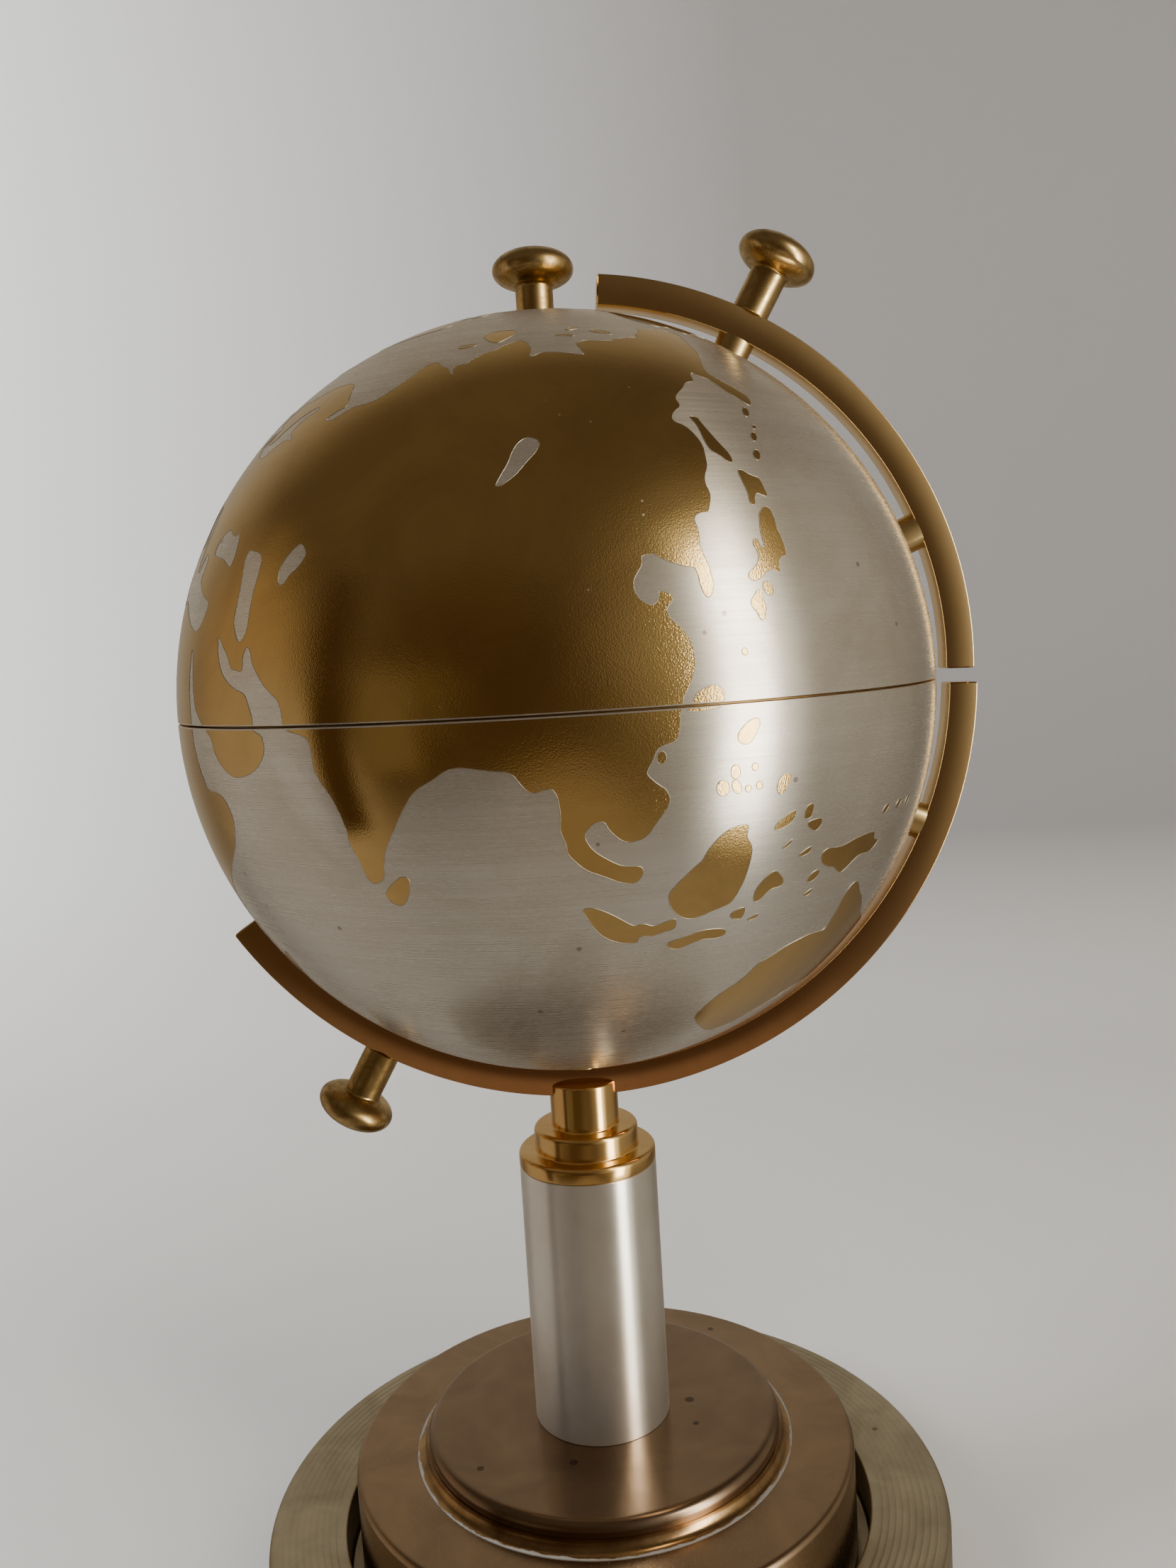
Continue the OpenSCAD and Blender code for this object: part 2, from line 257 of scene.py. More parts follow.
def polished_gilt(name, tint, worn, roughness=(0.10, 0.24)):
    """Gilt with worn, warmer patches and fine scratches, for the collar and the sphere's inside."""
    s = Shader(name)
    patch = s.noise(s.position, scale=110, detail=5, roughness=0.6, distortion=0.5)
    scratch = s.noise(s.stretched(1400, 1400, 180), detail=3, roughness=0.7)
    speck = s.spots(900, 0.14, 0.07)
    base = s.mix(s.patches(patch, 0.38, 0.68), tint, worn)
    s.set("Base Color", s.mix(s.math("MULTIPLY", speck, 0.6), base, (0.20, 0.12, 0.06)))
    s.set("Roughness", s.range(patch, *roughness))
    s.set("Normal", s.bump(scratch, 0.12, 0.01 * MM))
    return s.material


def bar_gilt(height_low, height_high):
    """The bar's gilt: brushed yellow above, wearing to copper low down."""
    s = Shader("bar_gilt")
    patch = s.noise(s.position, scale=90, detail=5, roughness=0.62, distortion=0.7)
    brushed = s.noise(s.stretched(500, 3000, 500), detail=3, roughness=0.7)
    speck = s.spots(700, 0.12, 0.05)
    ragged = s.math("ADD", s.split(s.position)[2], s.math("MULTIPLY", patch, 8 * MM))
    lift = s.share(ragged, height_low, height_high)
    gold = s.mix(s.patches(patch, 0.35, 0.7), (0.84, 0.61, 0.30), (0.74, 0.50, 0.235))
    copper = s.mix(s.patches(patch, 0.3, 0.7), (0.72, 0.36, 0.165), (0.56, 0.265, 0.12))
    base = s.mix(lift, copper, gold)
    s.set("Base Color", s.mix(s.math("MULTIPLY", speck, 0.5), base, (0.15, 0.07, 0.03)))
    s.set("Roughness", s.math("ADD", s.range(patch, 0.08, 0.17), s.math("MULTIPLY", lift, 0.04)))
    s.set("Normal", s.bump(brushed, 0.02, 0.01 * MM))
    return s.material


def knob_brass():
    """Old brass, dark with speckled tarnish that handling has rubbed bright in places."""
    s = Shader("knob_brass")
    tarnish = s.noise(s.position, scale=520, detail=6, roughness=0.72, distortion=0.5)
    cloud = s.noise(s.position, scale=140, detail=3)
    both = s.math("ADD", s.math("MULTIPLY", tarnish, 0.6), s.math("MULTIPLY", cloud, 0.4))
    amount = s.patches(both, 0.40, 0.60)
    s.set("Base Color", s.mix(amount, (0.76, 0.55, 0.25), (0.38, 0.255, 0.10)))
    s.set("Roughness", s.range(amount, 0.20, 0.40))
    s.set("Normal", s.bump(tarnish, 0.25, 0.04 * MM))
    return s.material


def column_satin():
    """Satin silver tube, brushed round, so that its highlight runs up and down."""
    s = Shader("column_satin", metallic=0.89)
    lines = s.noise(s.stretched(60, 60, 5200), detail=4, roughness=0.75)
    stain = s.noise(s.position, scale=90, detail=4, roughness=0.6)
    s.set("Base Color", s.mix(s.patches(stain, 0.4, 0.75), (0.88, 0.845, 0.775), (0.77, 0.715, 0.62)))
    s.set("Roughness", s.range(lines, 0.26, 0.36))
    s.brush_round(0.92)
    s.set("Normal", s.bump(lines, 0.3, 0.015 * MM))
    return s.material


def turned(name, tint, aged, spot, roughness, ring_pitch, ring_strength, patch_scale=90):
    """Aged turned metal: rings about the column's axis, blotched patina and dark spots."""
    s = Shader(name)
    section = {"X": s.from_axis(s.position), "Y": 0.0, "Z": s.split(s.position)[2]}
    along = s.add("ShaderNodeCombineXYZ", section).outputs[0]
    rings = s.noise(along, scale=1 / ring_pitch, detail=3, roughness=0.7)
    patina = s.noise(s.position, scale=patch_scale, detail=6, roughness=0.62, distortion=0.7)
    fine = s.noise(s.position, scale=900, detail=3, roughness=0.7)
    spots = s.spots(170, 0.13, 0.28)
    base = s.mix(s.patches(patina, 0.36, 0.66), tint, aged)
    base = s.mix(s.range(rings, 0.0, 0.35), base, aged)
    s.set("Base Color", s.mix(s.math("MULTIPLY", spots, 0.65), base, spot))
    rough = s.math("ADD", s.range(patina, *roughness), s.range(fine, -0.05, 0.05))
    s.set("Roughness", rough)
    normal = s.bump(rings, ring_strength, 0.03 * MM)
    s.set("Normal", s.bump(fine, 0.15, 0.02 * MM, normal))
    return s.material


def cove_bronze(inner_r, outer_r):
    """Bright bronze cove with grey residue left along its outer edge."""
    s = Shader("cove_bronze")
    out = s.share(s.from_axis(s.position), inner_r, outer_r)
    patch = s.noise(s.position, scale=160, detail=5, roughness=0.7)
    grit = s.noise(s.position, scale=1500, detail=4, roughness=0.7)
    where = s.math("ADD", out, s.math("MULTIPLY", s.math("SUBTRACT", patch, 0.5), 1.5))
    residue = s.patches(where, 0.62, 0.80)
    metal = s.mix(s.patches(patch, 0.35, 0.65), (0.55, 0.36, 0.17), (0.30, 0.18, 0.09))
    s.set("Base Color", s.mix(residue, metal, (0.34, 0.325, 0.30)))
    s.set("Metallic", s.range(residue, 1.0, 0.25))
    s.set("Roughness", s.range(residue, 0.20, 0.62))
    s.set("Normal", s.bump(s.math("MULTIPLY", grit, residue), 0.5, 0.08 * MM))
    return s.material


def felt():
    """Dark green felt, matted fibres."""
    s = Shader("felt", roughness=0.95, metallic=0.0)
    fibre = s.noise(s.position, scale=2500, detail=6, roughness=0.8, distortion=1.5)
    s.set("Base Color", s.ramp(fibre, (0.3, (0.015, 0.028, 0.02)), (0.7, (0.05, 0.085, 0.062))))
    s.set("Sheen Weight", 0.4)
    s.set("Normal", s.bump(fibre, 0.8, 0.2 * MM))
    return s.material


def plain_metal(name, tint, shade, roughness):
    """Fasteners and inner pieces: light tool marks and a little grime."""
    s = Shader(name)
    marks = s.noise(s.stretched(2500, 2500, 500), detail=3, roughness=0.7)
    grime = s.noise(s.position, scale=300, detail=4, roughness=0.6)
    s.set("Base Color", s.mix(s.patches(grime, 0.45, 0.7), tint, shade))
    s.set("Roughness", s.range(grime, *roughness))
    s.set("Normal", s.bump(marks, 0.2, 0.02 * MM))
    return s.material


def cast_iron():
    """Dark cast iron with a gritty skin."""
    s = Shader("cast_iron", metallic=0.7)
    grit = s.noise(s.position, scale=1200, detail=5, roughness=0.75)
    s.set("Base Color", s.ramp(grit, (0.3, (0.05, 0.05, 0.052)), (0.7, (0.16, 0.155, 0.15))))
    s.set("Roughness", s.range(grit, 0.5, 0.8))
    s.set("Normal", s.bump(grit, 0.7, 0.2 * MM))
    return s.material


def nylon():
    """Off-white nylon, faintly clouded."""
    s = Shader("nylon", metallic=0.0)
    cloud = s.noise(s.position, scale=400, detail=3)
    s.set("Base Color", s.ramp(cloud, (0.3, (0.72, 0.70, 0.64)), (0.7, (0.82, 0.80, 0.75))))
    s.set("Roughness", s.range(cloud, 0.35, 0.5))
    s.set("Subsurface Weight", 0.1)
    return s.material


LOOK = {
    "sea": sea_silver(),
    "land": land_gold(),
    "coast": coast_silver(),
    "bar": bar_gilt(CENTRE.z - 56 * MM, CENTRE.z - 5 * MM),
    "collar": polished_gilt("collar_gilt", (0.90, 0.62, 0.26), (0.78, 0.47, 0.17)),
    "inside": polished_gilt("inside_gilt", (0.84, 0.62, 0.30), (0.72, 0.50, 0.22), (0.22, 0.38)),
    "knob": knob_brass(),
    "column": column_satin(),
    "plate": turned("plate_bronze", (0.37, 0.26, 0.17), (0.28, 0.195, 0.13), (0.045, 0.035, 0.028),
                    (0.16, 0.30), 0.5 * MM, 0.2),
    "drum": turned("drum_bronze", (0.45, 0.315, 0.195), (0.34, 0.235, 0.15), (0.05, 0.035, 0.028),
                   (0.19, 0.34), 0.5 * MM, 0.2),
    "foot": turned("foot_brass", (0.66, 0.58, 0.43), (0.48, 0.42, 0.30), (0.14, 0.115, 0.07),
                   (0.30, 0.46), 0.28 * MM, 0.7),
    "cove": cove_bronze(26.0 * MM, 27.1 * MM),
    "felt": felt(),
    "steel": plain_metal("fastener_steel", (0.55, 0.55, 0.54), (0.30, 0.28, 0.26), (0.28, 0.5)),
    "brass": plain_metal("bush_brass", (0.76, 0.56, 0.26), (0.50, 0.34, 0.14), (0.22, 0.42)),
    "dark": plain_metal("washer_dark", (0.075, 0.062, 0.05), (0.16, 0.12, 0.075), (0.35, 0.55)),
    "iron": cast_iron(),
    "nylon": nylon(),
}


# ---------------------------------------------------------------- mesh tools
def piece(name, mesh, body, looks, nodes=()):
    """Links a mesh as a piece that rides on a body and stands for the CAD nodes given."""
    for look in looks:
        mesh.materials.append(LOOK[look])
    obj = link(name, mesh)
    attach(obj, body)
    if nodes:
        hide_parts(*nodes)


def arc(centre, radius, start, end, steps=6):
    """Points on an arc, angles in degrees."""
    turns = [math.radians(start + (end - start) * i / steps) for i in range(steps + 1)]
    return [(centre[0] + radius * math.cos(a), centre[1] + radius * math.sin(a)) for a in turns]


def rounded(corners, steps=5):
    """A profile from corners (r, z, radius): each corner with a radius becomes an arc."""
    out = []
    for i, (x, y, radius) in enumerate(corners):
        if radius == 0 or i in (0, len(corners) - 1):
            out.append((x, y))
            continue
        here = Vector((x, y))
        back = (Vector(corners[i - 1][:2]) - here).normalized()
        ahead = (Vector(corners[i + 1][:2]) - here).normalized()
        half = back.angle(ahead) / 2
        reach = radius / math.tan(half)
        middle = here + (back + ahead).normalized() * radius / math.sin(half)
        a, b = here + back * reach - middle, here + ahead * reach - middle
        turn = a.angle_signed(b)
        for k in range(steps + 1):
            spin = Matrix.Rotation(-turn * k / steps, 2)
            out.append(tuple(middle + spin @ a))
    return out


def turned_mesh(
        name, profile, at=(0, 0, 0), axis=UP, segments=192, closed=False, sharp=32, inside=None):
    """A solid of revolution from (r, z) points in mm about an axis. inside marks faces for slot 1."""
    bm = bmesh.new()
    rings = []
    for r, z in profile:
        if r < 1e-6:
            rings.append([bm.verts.new((0, 0, z * MM))])
        else:
            turns = [2 * math.pi * k / segments for k in range(segments)]
            rings.append([bm.verts.new((r * MM * math.cos(a), r * MM * math.sin(a), z * MM)) for a in turns])
    pairs = list(zip(rings, rings[1:]))
    if closed:
        pairs.append((rings[-1], rings[0]))
    for index, (low, high) in enumerate(pairs):
        for k in range(segments):
            n = (k + 1) % segments
            corners = [low[k % len(low)], low[n % len(low)], high[n % len(high)], high[k % len(high)]]
            corners = list(dict.fromkeys(corners))
            if len(corners) > 2:
                face = bm.faces.new(corners)
                if inside and inside(index):
                    face.material_index = 1
    bmesh.ops.recalc_face_normals(bm, faces=bm.faces)
    turn = UP.rotation_difference(Vector(axis)).to_matrix().to_4x4()
    bmesh.ops.transform(bm, matrix=Matrix.Translation(at) @ turn, verts=bm.verts)
    return finish_mesh(name, bm, sharp)


def finish_mesh(name, bm, sharp=32):
    """A smooth-shaded mesh from a bmesh, with edges sharper than an angle in degrees kept crisp."""
    mesh = bpy.data.meshes.new(name)
    bm.to_mesh(mesh)
    bm.free()
    mesh.polygons.foreach_set("use_smooth", [True] * len(mesh.polygons))
    mesh.set_sharp_from_angle(angle=math.radians(sharp))
    return mesh


# ---------------------------------------------------------------- foot and stand
def node_span(node):
    """Outer radius, bottom and top of a turned CAD node about the column's axis, in mm."""
    low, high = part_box(node)
    return high.x / MM, low.z / MM, high.z / MM


foot_r, foot_z0, foot_z1 = node_span("foot_ring")
drum_r, drum_z0, drum_z1 = node_span("drum")
plate_r, plate_z0, plate_boss = node_span("top_plate")
column_r, column_z0, column_z1 = node_span("column")
cove_out, cove_z0, cove_z1 = node_span("cove_ring")
felt_r, felt_z0, felt_z1 = node_span("felt_pad")
ring_out, ring_z0, ring_z1 = node_span("rim_ring")
DISC_SEGMENTS = 256
BORE = 2.0
SCREW_R = 1.3
COLUMN_WALL = 1.2
tube_fit = column_r - COLUMN_WALL - 0.1

felt_profile = rounded([(0, felt_z0, 0), (felt_r, felt_z0, 0.25), (felt_r, felt_z1, 0.3), (0, felt_z1, 0)])
piece("felt_disc", turned_mesh("felt_disc", felt_profile), "foot", ["felt"], ["felt_pad"])


def turning(name, profile, body, look, node, segments=DISC_SEGMENTS):
    """A closed ring profile about the column's axis, as the piece that stands for one CAD node."""
    piece(name, turned_mesh(name, profile, closed=True, segments=segments), body, [look], [node])


# Foot: turned dish with shallow grooves in its broad top face
GAP_R = drum_r + 1.9
FLOOR = foot_z0 + 2.6
HUB_R, HUB_TOP, WELL_R, WELL_TOP, BUSH_R = 10.0, 7.4, 5.0, 5.0, 3.5
GROOVES, GROOVE_HALF, GROOVE_DEPTH = 9, 0.12, 0.05
GROOVE_INSET, GROOVE_MARGIN = 1.6, 2.4
groove_pitch = (foot_r - GAP_R - GROOVE_MARGIN) / GROOVES
top_face = []
for k in range(GROOVES):
    r = foot_r - GROOVE_INSET - groove_pitch * k
    top_face += [(r, foot_z1), (r - GROOVE_HALF, foot_z1 - GROOVE_DEPTH), (r - 2 * GROOVE_HALF, foot_z1)]
outside = rounded([
    (WELL_R, foot_z0, 0), (foot_r - 0.9, foot_z0, 0), (foot_r, foot_z0 + 0.9, 0.5),
    (foot_r, foot_z1, 0.7), (foot_r - 1.4, foot_z1, 0)])
well = rounded([
    (GAP_R + 0.8, foot_z1, 0), (GAP_R, foot_z1, 0.35), (GAP_R, FLOOR, 0.5), (HUB_R, FLOOR, 0.5),
    (HUB_R, HUB_TOP, 0.3), (BUSH_R, HUB_TOP, 0), (BUSH_R, WELL_TOP, 0), (WELL_R, WELL_TOP, 0)])
turning("foot_dish", outside + top_face + well, "foot", "foot", "foot_ring")

# Drum: hollow underneath, centre boss, softly broken edges
DRUM_WALL = 3.0
BOSS_R, BOSS_Z = 9.5, HUB_TOP + 0.8
drum_in, drum_roof = drum_r - DRUM_WALL, drum_z1 - DRUM_WALL
turning("drum_cup", rounded([
    (BORE, BOSS_Z, 0), (BOSS_R, BOSS_Z, 0.3), (BOSS_R, drum_roof, 0.5), (drum_in, drum_roof, 1.0),
    (drum_in, drum_z0, 0), (drum_r, drum_z0, 0.4), (drum_r, drum_z1, 0.9), (BORE, drum_z1, 0)]),
    "stand", "drum", "drum")

PLATE_T = 3.7
plate_top = plate_z0 + PLATE_T
turning("plate_disc", rounded([
    (BORE, plate_z0, 0), (plate_r - 0.3, plate_z0, 0), (plate_r, plate_z0 + 0.3, 0.2),
    (plate_r, plate_top, 1.45), (tube_fit, plate_top, 0), (tube_fit, plate_boss, 0.4),
    (BORE, plate_boss, 0)], steps=8),
    "stand", "plate", "top_plate")

COVE_LIP = 0.12
cove_in = plate_r + 0.03
hollow = arc((cove_out, cove_z1), cove_z1 - cove_z0 - COVE_LIP, -90, -180, 14)
turning("cove", [(cove_in, cove_z0), (cove_out, cove_z0), (cove_out, cove_z0 + COVE_LIP)]
        + hollow + [(cove_in, cove_z1)], "stand", "cove", "cove_ring")

column_in = column_r - COLUMN_WALL
turning("column_tube", rounded([
    (column_in, column_z0, 0), (column_r, column_z0, 0.15), (column_r, column_z1, 0.15),
    (column_in, column_z1, 0)]), "stand", "column", "column", segments=192)

# Collar: stepped turning with a saddle cut across its stub for the bar
SPIGOT_H, RING_H, STEP_R, STEP_H, STUB_R, STUB_H = 6.0, 2.15, 7.35, 3.25, 4.8, 6.4
BAR_W, BAR_T = 4.0, 3.9
SADDLE_PLAY = 0.04
spigot_z = column_z1 - SPIGOT_H
step_z = column_z1 + RING_H
stub_z = step_z + STEP_H
collar_mesh = turned_mesh("collar_turning", rounded([
    (BORE, spigot_z, 0), (tube_fit, spigot_z, 0.4), (tube_fit, column_z1, 0), (column_r, column_z1, 0.25),
    (column_r, step_z, 0.7), (STEP_R, step_z, 0.25), (STEP_R, stub_z, 0.7), (STUB_R, stub_z, 0.25),
    (STUB_R, stub_z + STUB_H, 0.3), (SCREW_R, stub_z + STUB_H, 0), (SCREW_R, step_z, 0),
    (BORE, column_z1 - 0.2, 0)], steps=6), closed=True, segments=160)
# Each arc of the bar: inside radius in mm, and its centre's offset from the sphere's
ARCS = {"upper": (49.2, Vector((3.9, 0, 2.3))), "lower": (52.5, Vector((1.0, 0, 0.5)))}


def reach(angle, which, outside):
    """How far an arc's inside or outside is from the sphere's centre in a direction, in mm."""
    radius, at = ARCS[which]
    radius += BAR_T if outside else 0
    along = direction(angle).dot(at)
    return along + math.sqrt(radius * radius - at.length_squared + along * along)


low_r, low_at = ARCS["lower"]
cut_r, cut_w = low_r + BAR_T, BAR_W / 2 + SADDLE_PLAY
cutter_mesh = turned_mesh(
    "cutter", [(0, -cut_w), (cut_r, -cut_w), (cut_r, cut_w), (0, cut_w)],
    at=CENTRE + low_at * MM, axis=(0, 1, 0), segments=360)
cutter = link("cutter", cutter_mesh)
collar = link("collar_blank", collar_mesh)
saddle = collar.modifiers.new("saddle", "BOOLEAN")
saddle.operation = "DIFFERENCE"
saddle.object = cutter
saddle.solver = "EXACT"
evaluated = collar.evaluated_get(bpy.context.evaluated_depsgraph_get())
cut_mesh = bpy.data.meshes.new_from_object(evaluated)
cut_mesh.materials.clear()
cut_mesh.set_sharp_from_angle(angle=math.radians(32))
bpy.data.objects.remove(collar)
bpy.data.objects.remove(cutter)
piece("collar_turning", cut_mesh, "stand", ["collar"], ["collar"])


# ---------------------------------------------------------------- sphere shells
SEAM_BEVEL = 0.17
SEAM_HALF = 0.09
OUTER_STEPS, INNER_STEPS = 84, 60


def shell_profile(sign):
    """Half shell as (r, z) from the seam outwards and back inside. sign +1 lid, -1 bowl."""
    bevel = math.degrees(SEAM_BEVEL * MM / GLOBE_R)
    hole = math.degrees(SCREW_R * MM / GLOBE_R)
    out_r, in_r = GLOBE_R / MM, (GLOBE_R - SHELL_T) / MM
    outer = arc((0, 0), out_r, bevel, 90 - hole, OUTER_STEPS)
    inner = arc((0, 0), in_r, 90 - hole * out_r / in_r, 0, INNER_STEPS)
    points = [(in_r, SEAM_HALF), (out_r - SEAM_BEVEL, SEAM_HALF)] + outer + inner[:-1]
    return [(r, sign * z) for r, z in points]


def is_inside(index):
    """Whether a band of the shell's profile is on its inside or its seam face."""
    return index == 0 or index > OUTER_STEPS + 2


for half, body, sign in (("lid", "lid", 1), ("bowl", "stand", -1)):
    shell = turned_mesh(half + "_shell", shell_profile(sign), at=CENTRE, segments=320, closed=True,
                        inside=is_inside)
    piece(half + "_shell", shell, body, ["sea", "inside"], [half])

RIM_T, RIM_STEP = 1.4, 0.4
seam_z = CENTRE.z / MM
rim_in, rim_up = ring_out - RIM_T, ring_out - RIM_STEP
turning("rim_band", rounded([
    (rim_in, ring_z0, 0), (ring_out - 0.18, ring_z0, 0.2), (ring_out - 0.02, seam_z - 0.05, 0),
    (rim_up, seam_z, 0), (rim_up, ring_z1, 0.35), (rim_in, ring_z1, 0.25)]),
    "stand", "brass", "rim_ring")


# ---------------------------------------------------------------- meridian bar
BAR_EASE = 0.18
BAR_STEP = 0.6


def bar_mesh(name, which, start, end):
    """Square bar swept along its arc, edges and ends eased. Angles are from the sphere's centre."""
    r_in, at = ARCS[which]
    r_out, half_w, ease = r_in + BAR_T, BAR_W / 2, BAR_EASE
    middle = r_in + BAR_T / 2
    own = []
    for angle in (start, end):
        point = direction(angle) * (reach(angle, which, False) + BAR_T / 2) - at
        own.append(math.degrees(math.atan2(point.z, point.x)))
    first, last = own
    section = []
    for x, y, a0 in ((r_out - ease, half_w - ease, 0), (r_in + ease, half_w - ease, 90),
                     (r_in + ease, ease - half_w, 180), (r_out - ease, ease - half_w, 270)):
        section += arc((x, y), ease, a0, a0 + 90, 3)
    steps = int((last - first) / BAR_STEP)
    nudge = math.degrees(ease / middle)
    span = last - first - 2 * nudge
    stations = [(first, 1 - ease / half_w)]
    stations += [(first + nudge + span * k / steps, 1.0) for k in range(steps + 1)]
    stations += [(last, 1 - ease / half_w)]
    bm = bmesh.new()
    loops = []
    for angle, scale in stations:
        ring = []
        for x, y in section:
            away = direction(angle) * (middle + (x - middle) * scale)
            ring.append(bm.verts.new(CENTRE + (at + away + Vector((0, y * scale, 0))) * MM))
        loops.append(ring)
    for a, b in zip(loops, loops[1:]):
        for j in range(len(section)):
            n = (j + 1) % len(section)
            bm.faces.new([a[j], a[n], b[n], b[j]])
    bm.faces.new(loops[0])
    bm.faces.new(loops[-1][::-1])
    bmesh.ops.recalc_face_normals(bm, faces=bm.faces)
    return finish_mesh(name, bm, 28)


# Angles in degrees above the level, seen from the sphere's centre
TOP_END, UP_CUT, LOW_CUT, LOW_END = 81.2, 0.7, -1.3, -147.3
AXIS = 60.0
POSTS = {"upper": 21.4, "lower": -22.4}
for half, body, start, end in (("upper", "lid", UP_CUT, TOP_END), ("lower", "stand", LOW_END, LOW_CUT)):
    piece(half + "_bar", bar_mesh(half + "_bar", half, start, end), body, ["bar"], [half + "_meridian"])


# ---------------------------------------------------------------- knobs, spacers, posts
STEM_R, CAP_R, CAP_H, STUD_R, POST_R = 2.5, 5.4, 5.1, 1.25, 2.5
THREADS, THREAD_PITCH, THREAD_DEPTH = 6, 0.4, 0.18
CAP_STEPS, CAP_START = 48, -58
FILLET = 0.45


def knob_profile(base, stem):
    """Knob along its axis, from the sphere's centre: threaded stud, stem and cushion-shaped cap."""
    stud_end = (GLOBE_R - SHELL_T) / MM - 2.6
    points = [(0, stud_end), (STUD_R - 0.3, stud_end)]
    for k in range(THREADS):
        z = stud_end + 0.3 + THREAD_PITCH * k
        points += [(STUD_R, z), (STUD_R - THREAD_DEPTH, z + THREAD_PITCH / 2)]
    points += [(STUD_R, stud_end + 2.8), (STUD_R, base), (STEM_R - 0.1, base), (STEM_R, base + 0.1)]
    under, over = CAP_H * 0.47, CAP_H * 0.53
    middle = base + stem + under
    for k in range(CAP_STEPS + 1):
        t = math.radians(CAP_START + (90 - CAP_START) * k / CAP_STEPS)
        r = CAP_R * abs(math.cos(t)) ** 0.88
        z = (over if t > 0 else under) * math.copysign(abs(math.sin(t)) ** 0.95, t)
        if k == 0:
            points += arc((STEM_R + FILLET, middle + z - FILLET), FILLET, 180, 90, 5)
        points.append((0 if k == CAP_STEPS else r, middle + z))
    return points


# Name, angle, body, where the stem starts, and the stem's length
KNOBS = (
    ("top_knob", 90, "lid", GLOBE_R / MM + 0.6, 3.5),
    ("upper_axis_knob", AXIS, "lid", reach(AXIS, "upper", True) - 0.1, 5.76),
    ("lower_axis_knob", AXIS - 180, "stand", reach(AXIS - 180, "lower", True) - 0.05, 6.45),
)
for name, angle, body, base, stem in KNOBS:
    mesh = turned_mesh(
        name + "_turning", knob_profile(base, stem), at=CENTRE, axis=direction(angle), segments=96)
    piece(name + "_turning", mesh, body, ["knob"], [name])

SPHERE_R = 50.0
SPACERS = (
    ("upper_axis_spacer", AXIS, "lid", "upper"),
    ("lower_axis_spacer", AXIS - 180, "stand", "lower"),
    ("bottom_spacer", -90, "stand", "lower"),
    ("upper_standoff", POSTS["upper"], "lid", "upper"),
    ("lower_standoff", POSTS["lower"], "stand", "lower"),
)
for name, angle, body, which in SPACERS:
    end = reach(angle, which, False) + 0.05
    profile = rounded([
        (SCREW_R, SPHERE_R, 0), (POST_R, SPHERE_R + 0.02, 0.15), (POST_R, end, 0), (SCREW_R, end, 0)])
    mesh = turned_mesh(
        name + "_bush", profile, at=CENTRE, axis=direction(angle), segments=72, closed=True)
    piece(name + "_bush", mesh, body, ["brass"], [name])

WASHER_R, washer_top = 3.4, SPHERE_R + 0.6
profile = rounded([
    (SCREW_R, SPHERE_R, 0), (WASHER_R, SPHERE_R, 0.15), (WASHER_R, washer_top, 0.2),
    (SCREW_R, washer_top, 0)])
mesh = turned_mesh("knob_washer", profile, at=CENTRE, axis=UP, segments=96, closed=True)
piece("knob_washer", mesh, "lid", ["dark"], ["top_knob_washer"])


# ---------------------------------------------------------------- CAD nodes that stay
KEPT = {
    "brass": ["pivot_bush"],
    "nylon": ["thrust_washer"],
    "iron": ["ballast"],
    "steel": ["tie_rod", "tie_nut", "spring_washer", "centre_screw", "centre_washer", "lower_axis_nut",
              "lower_standoff_screw", "top_knob_nut", "upper_axis_nut", "upper_standoff_screw"],
}
for look, nodes in KEPT.items():
    for node in nodes:
        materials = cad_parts[node].data.materials
        materials.clear()
        materials.append(LOOK[look])


# ---------------------------------------------------------------- the map
# How the map's poles and meridians lie on the sphere
MAP_TURN = (
    Matrix.Rotation(math.radians(-105.83), 3, "Z")
    @ Matrix.Rotation(math.radians(27.384), 3, "Y")
    @ Matrix.Rotation(math.radians(-84.551), 3, "Z")
)
LAND_RISE = 0.025 * MM
LAND_DEPTH = 0.15 * MM
COAST_R = 0.045 * MM
SEAM_GAP = (SEAM_BEVEL + SEAM_HALF) * MM
GRID = math.radians(1.5)
SPECK_POINTS = 10
CORNER_CUT = 0.22

